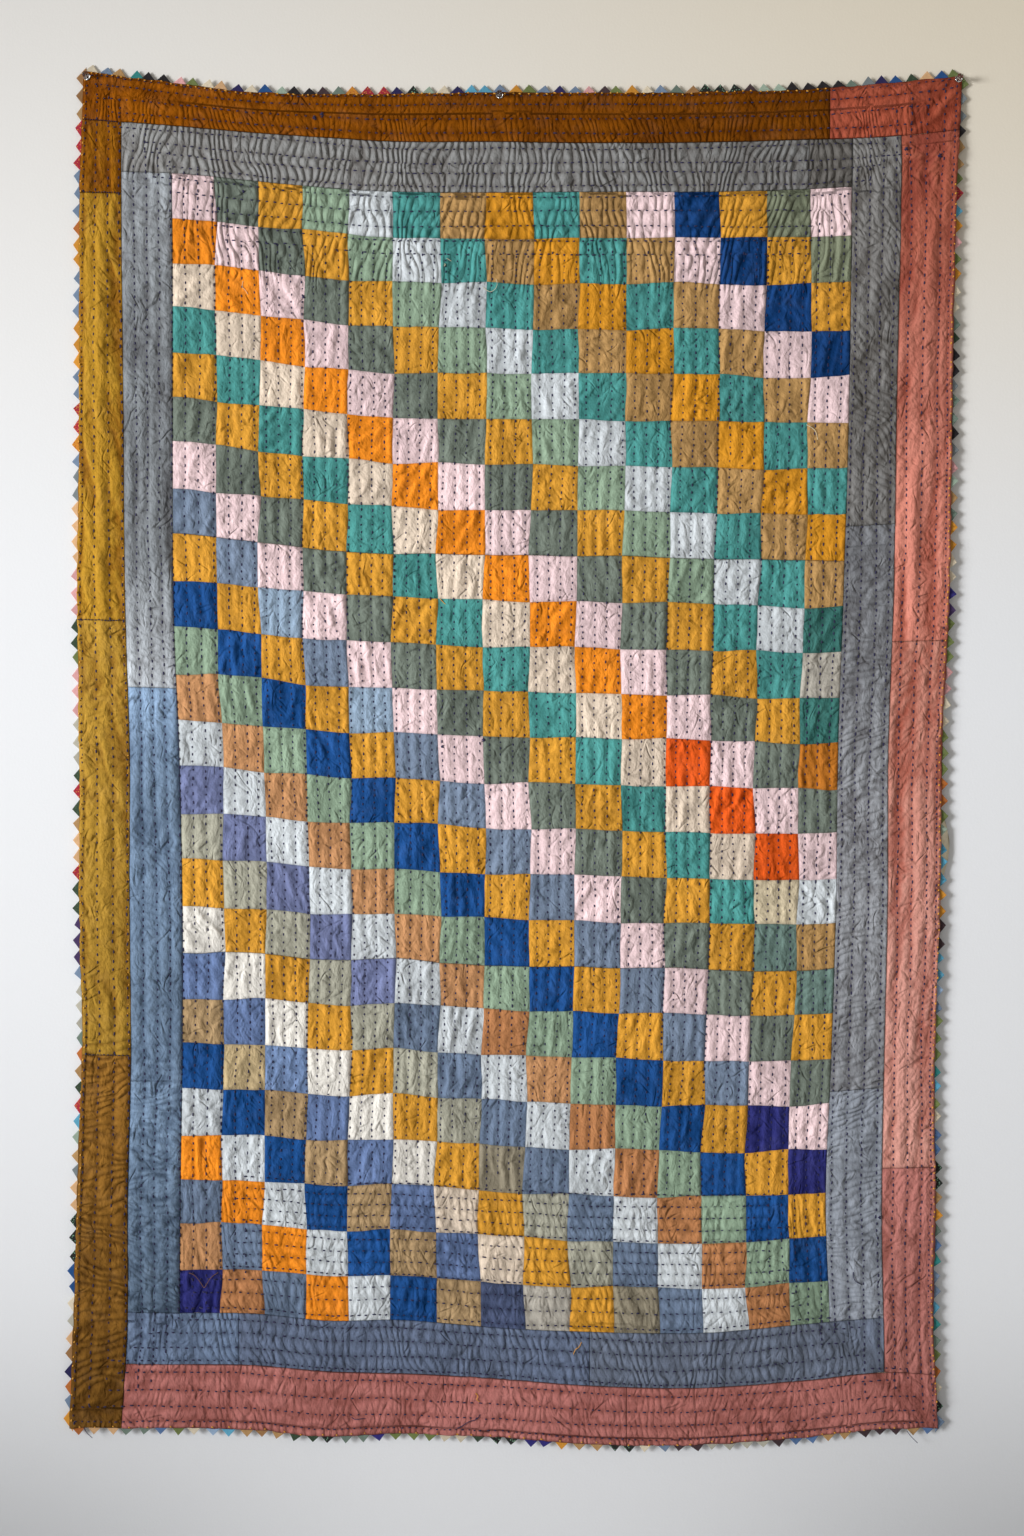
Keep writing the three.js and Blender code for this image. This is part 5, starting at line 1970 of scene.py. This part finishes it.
class QUILT_OT_stitches(bpy.types.Operator):
    """Adds the running stitches that show on the front and on the back"""

    bl_idname = "quilt.stitches"
    bl_label = "Running stitches"

    def execute(self, context):
        random = np.random.default_rng(12)
        pattern = stitch_pattern()
        length = size_of("stitch_length")
        level = size_of("level_pitch")
        upright = size_of("upright_pitch")
        thread = size_of("thread")
        short, close, closer = FIRST_RING_SHARES
        rings = ring_rows(random, RINGS[0], short * length, close * level, closer * upright)
        for ring in RINGS[1:]:
            rings += ring_rows(random, ring, length, level, upright)
        rings = np.concatenate(rings)
        straight = []
        top, bottom = RINGS[-1, 1], QUILT_LENGTH - RINGS[-1, 3]
        last = bottom - LEVEL_ROWS * LEVEL_SPACING
        for u in straight_rows()[1:-1]:
            start = (u, top + random.uniform(-22, 6))
            end = (u, last + random.uniform(-6, 22))
            straight.append(stitch_row(random, start, end, STRAIGHT_LENGTH * length, upright))
        for count in range(1, LEVEL_ROWS + 1):
            v = bottom - count * LEVEL_SPACING
            start = (RINGS[-1, 0] + random.uniform(-30, 8), v)
            end = (QUILT_WIDTH - RINGS[-1, 2] + random.uniform(-8, 60), v)
            straight.append(stitch_row(random, start, end, length, level))
        straight = np.concatenate(straight)
        for name, stitches in (("stitches_rings", rings), ("stitches_straight", straight)):
            piece = sew(name, pattern, stitches, thread, front_surface)
            finish_piece(piece, "patch_cotton", finish("sewing thread"))
        # The thread shows behind where it doesn't in front, half a pitch on.
        behind = np.concatenate([rings, straight])
        is_level = np.abs(behind[:, 2]) > 0.7
        behind[:, :2] += behind[:, 2:4] * np.where(is_level, level, upright)[:, None] / 2
        inside = (behind[:, 0] < QUILT_WIDTH - 6) & (behind[:, 1] < QUILT_LENGTH - 6)
        pattern = plain_stitch_pattern()
        piece = sew("stitches_back", pattern, behind[inside], thread, back_surface, outward=1)
        finish_piece(piece, "backing_cotton", finish("sewing thread"))
        return {"FINISHED"}


class QUILT_OT_edge_stitches(bpy.types.Operator):
    """Adds the gold stitches along the edge and the close ones that join strips"""

    bl_idname = "quilt.edge_stitches"
    bl_label = "Edge and seam stitches"

    def execute(self, context):
        random = np.random.default_rng(5)
        pattern = stitch_pattern()
        thread = size_of("thread")
        left, top, right, bottom = GOLD_RING
        right = QUILT_WIDTH - right
        bottom = QUILT_LENGTH - bottom
        seam = FLAT_ACROSS[1] - 1.5
        edge = [
            stitch_row(random, start, end, part * size_of("stitch_length"), pitch, 0.35, 0.3)
            for start, end, part, pitch in (
                ((left, top), (1115, top), 0.7, 11),
                ((right, 150), (right, bottom), 0.6, 12.5),
                ((left, bottom), (right, bottom), 0.6, 24),
                ((left, top), (left, bottom), 0.65, 19),
                ((seam, 700), (seam, 1500), 0.35, 15),
            )
        ]
        piece = sew("stitches_gold", pattern, np.concatenate(edge), 1.05 * thread, front_surface)
        finish_piece(piece, "ochre_cotton", finish("gold thread"))
        joins = []
        for name, from_across, to_across, from_down, _, _, _ in OUTER_STRIPS:
            if name.startswith("outer_left"):
                u0, v0 = flat_from_pattern(from_across, from_down)
                u1, _ = flat_from_pattern(to_across, from_down)
                joins.append(stitch_row(random, (u0 + 3, v0), (u1 - 2, v0), 3.2, 5.2))
        piece = sew("stitches_joins", pattern, np.concatenate(joins), 0.7 * thread, front_surface, lift=0.1)
        finish_piece(piece, "ochre_cotton", finish("sewing thread"))
        knots = []
        for x, z, size, turned in KNOTS:
            u, v = flat_from_pattern(*pattern_at([x], [z]))
            for turn in KNOT_TURNS:
                angle = math.radians(turned + turn)
                knots.append((u[0], v[0] + 0.01 * turn, math.cos(angle), -math.sin(angle), size))
        piece = sew("stitches_knots", pattern, np.array(knots), 0.9 * thread, front_surface, lift=0.8)
        finish_piece(piece, "patch_cotton", finish("sewing thread"))
        return {"FINISHED"}


class QUILT_OT_loose_threads(bpy.types.Operator):
    """Adds the thread ends that stand out of the cloth"""

    bl_idname = "quilt.loose_threads"
    bl_label = "Loose threads"

    def execute(self, context):
        finishes = {"thread": finish("sewing thread"), "gold": finish("gold thread")}
        for name, colour in THREAD_COLOURS.items():
            finishes[name] = thread_material(f"{name} thread", colour)
        for index, (thread, width, places) in enumerate(LOOSE_THREADS, 1):
            make_loose_thread(f"loose_thread_{index}", width, places, finishes[thread])
        return {"FINISHED"}


class QUILT_OT_backing(bpy.types.Operator):
    bl_idname = "quilt.backing"
    bl_label = "Backing"

    def execute(self, context):
        material = cotton_material("backing cotton", 0.08, 0.12, 0.5, 0.7)
        piece = make_backing(material, size_of("backing_cell"))
        return {"FINISHED"}


class QUILT_OT_pins(bpy.types.Operator):
    """Adds the clear grips of the three push pins"""

    bl_idname = "quilt.pins"
    bl_label = "Push pins"

    def execute(self, context):
        material = clear_plastic_material()
        for name in PINS:
            make_grip(name, material)
        return {"FINISHED"}


# The stage, in metres and degrees. Its sheets have a place, a turn about X and a size. The camera
# looks at the wall in VIEW_MIDDLE, and the key lamp shines from the left to KEY_AIM.
STAGE_SHEETS = (
    ("wall", (0, 0.0005, -0.6), 90, 7),
    ("floor", (0, -2.2, -2.6), 0, 7),
)
VIEW_MIDDLE = Vector((0.019, 0, -1.02))
SENSOR_WIDTH = 36
KEY_PLACE = Vector((-6.6, -4.1, -0.55))
KEY_AIM = Vector((-0.2, 0, -0.9))
KEY_WIDTH = 3
KEY_HEIGHT = 2.2
KEY_SPREAD = 34
KEY_COLOUR = (0.985, 0.99, 1.0)
SKY_COLOUR = (1.0, 0.95, 0.88, 1)


class QUILT_OT_stage(bpy.types.Operator):
    """Adds the wall, the floor, the lamps and the camera"""

    bl_idname = "quilt.stage"
    bl_label = "Wall, lamps and camera"

    def execute(self, context):
        scene = context.scene
        studio = scene.quilt_studio
        wall = wall_material(colours().wall)
        for name, place_at, turn, size in STAGE_SHEETS:
            deselect_all()
            bpy.ops.mesh.primitive_plane_add(
                size=size, location=place_at, rotation=(math.radians(turn), 0, 0))
            sheet = context.object
            sheet.name = name
            bpy.ops.object.transform_apply(location=True, rotation=True, scale=True)
            sheet.data.materials.append(wall)

        deselect_all()
        bpy.ops.object.light_add(type="AREA", location=KEY_PLACE)
        key = context.object
        key.name = "key_lamp"
        key.data.shape = "RECTANGLE"
        key.data.size = KEY_WIDTH
        key.data.size_y = KEY_HEIGHT
        key.data.spread = math.radians(KEY_SPREAD)
        key.data.energy = studio.key
        key.data.color = KEY_COLOUR
        key.rotation_euler = (KEY_AIM - KEY_PLACE).to_track_quat("-Z", "Y").to_euler()

        world = bpy.data.worlds.new("studio")
        world.use_nodes = True
        background = world.node_tree.nodes["Background"]
        background.inputs["Color"].default_value = SKY_COLOUR
        background.inputs["Strength"].default_value = studio.sky
        scene.world = world

        lens = bpy.data.cameras.new("camera")
        lens.sensor_width = SENSOR_WIDTH
        lens.lens = SENSOR_WIDTH * studio.distance / studio.view_height
        camera = bpy.data.objects.new("camera", lens)
        camera.location = VIEW_MIDDLE + Vector((0, -studio.distance, 0))
        camera.rotation_euler = (math.radians(90), 0, 0)
        scene.collection.objects.link(camera)
        scene.camera = camera
        scene.view_settings.view_transform = "Standard"
        return {"FINISHED"}


BUILDERS = (
    QUILT_OT_materials,
    QUILT_OT_field,
    QUILT_OT_inner_border,
    QUILT_OT_outer_border,
    QUILT_OT_edging,
    QUILT_OT_stitches,
    QUILT_OT_edge_stitches,
    QUILT_OT_loose_threads,
    QUILT_OT_backing,
    QUILT_OT_pins,
    QUILT_OT_stage,
)


class QUILT_PT_panel(bpy.types.Panel):
    """The quilt's builders in the sidebar"""

    bl_idname = "QUILT_PT_panel"
    bl_label = "Ralli quilt"
    bl_space_type = "VIEW_3D"
    bl_region_type = "UI"
    bl_category = "Quilt"

    def draw(self, context):
        for builder in BUILDERS:
            self.layout.operator(builder.bl_idname)
        for group in SETTINGS:
            settings = getattr(context.scene, group)
            box = self.layout.box()
            for name in settings.__annotations__:
                box.prop(settings, name)


SETTINGS = {"quilt_sizes": QuiltSizes, "quilt_colours": QuiltColours, "quilt_studio": StudioSettings}
CLASSES = (*SETTINGS.values(), *BUILDERS, QUILT_PT_panel)


def register():
    for cls in CLASSES:
        bpy.utils.register_class(cls)
    for name, group in SETTINGS.items():
        setattr(bpy.types.Scene, name, PointerProperty(type=group))


def unregister():
    for name in SETTINGS:
        delattr(bpy.types.Scene, name)
    for cls in reversed(CLASSES):
        bpy.utils.unregister_class(cls)


def main():
    register()
    for builder in BUILDERS:
        group, name = builder.bl_idname.split(".")
        getattr(getattr(bpy.ops, group), name)()
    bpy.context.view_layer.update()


if __name__ == "__main__":
    main()
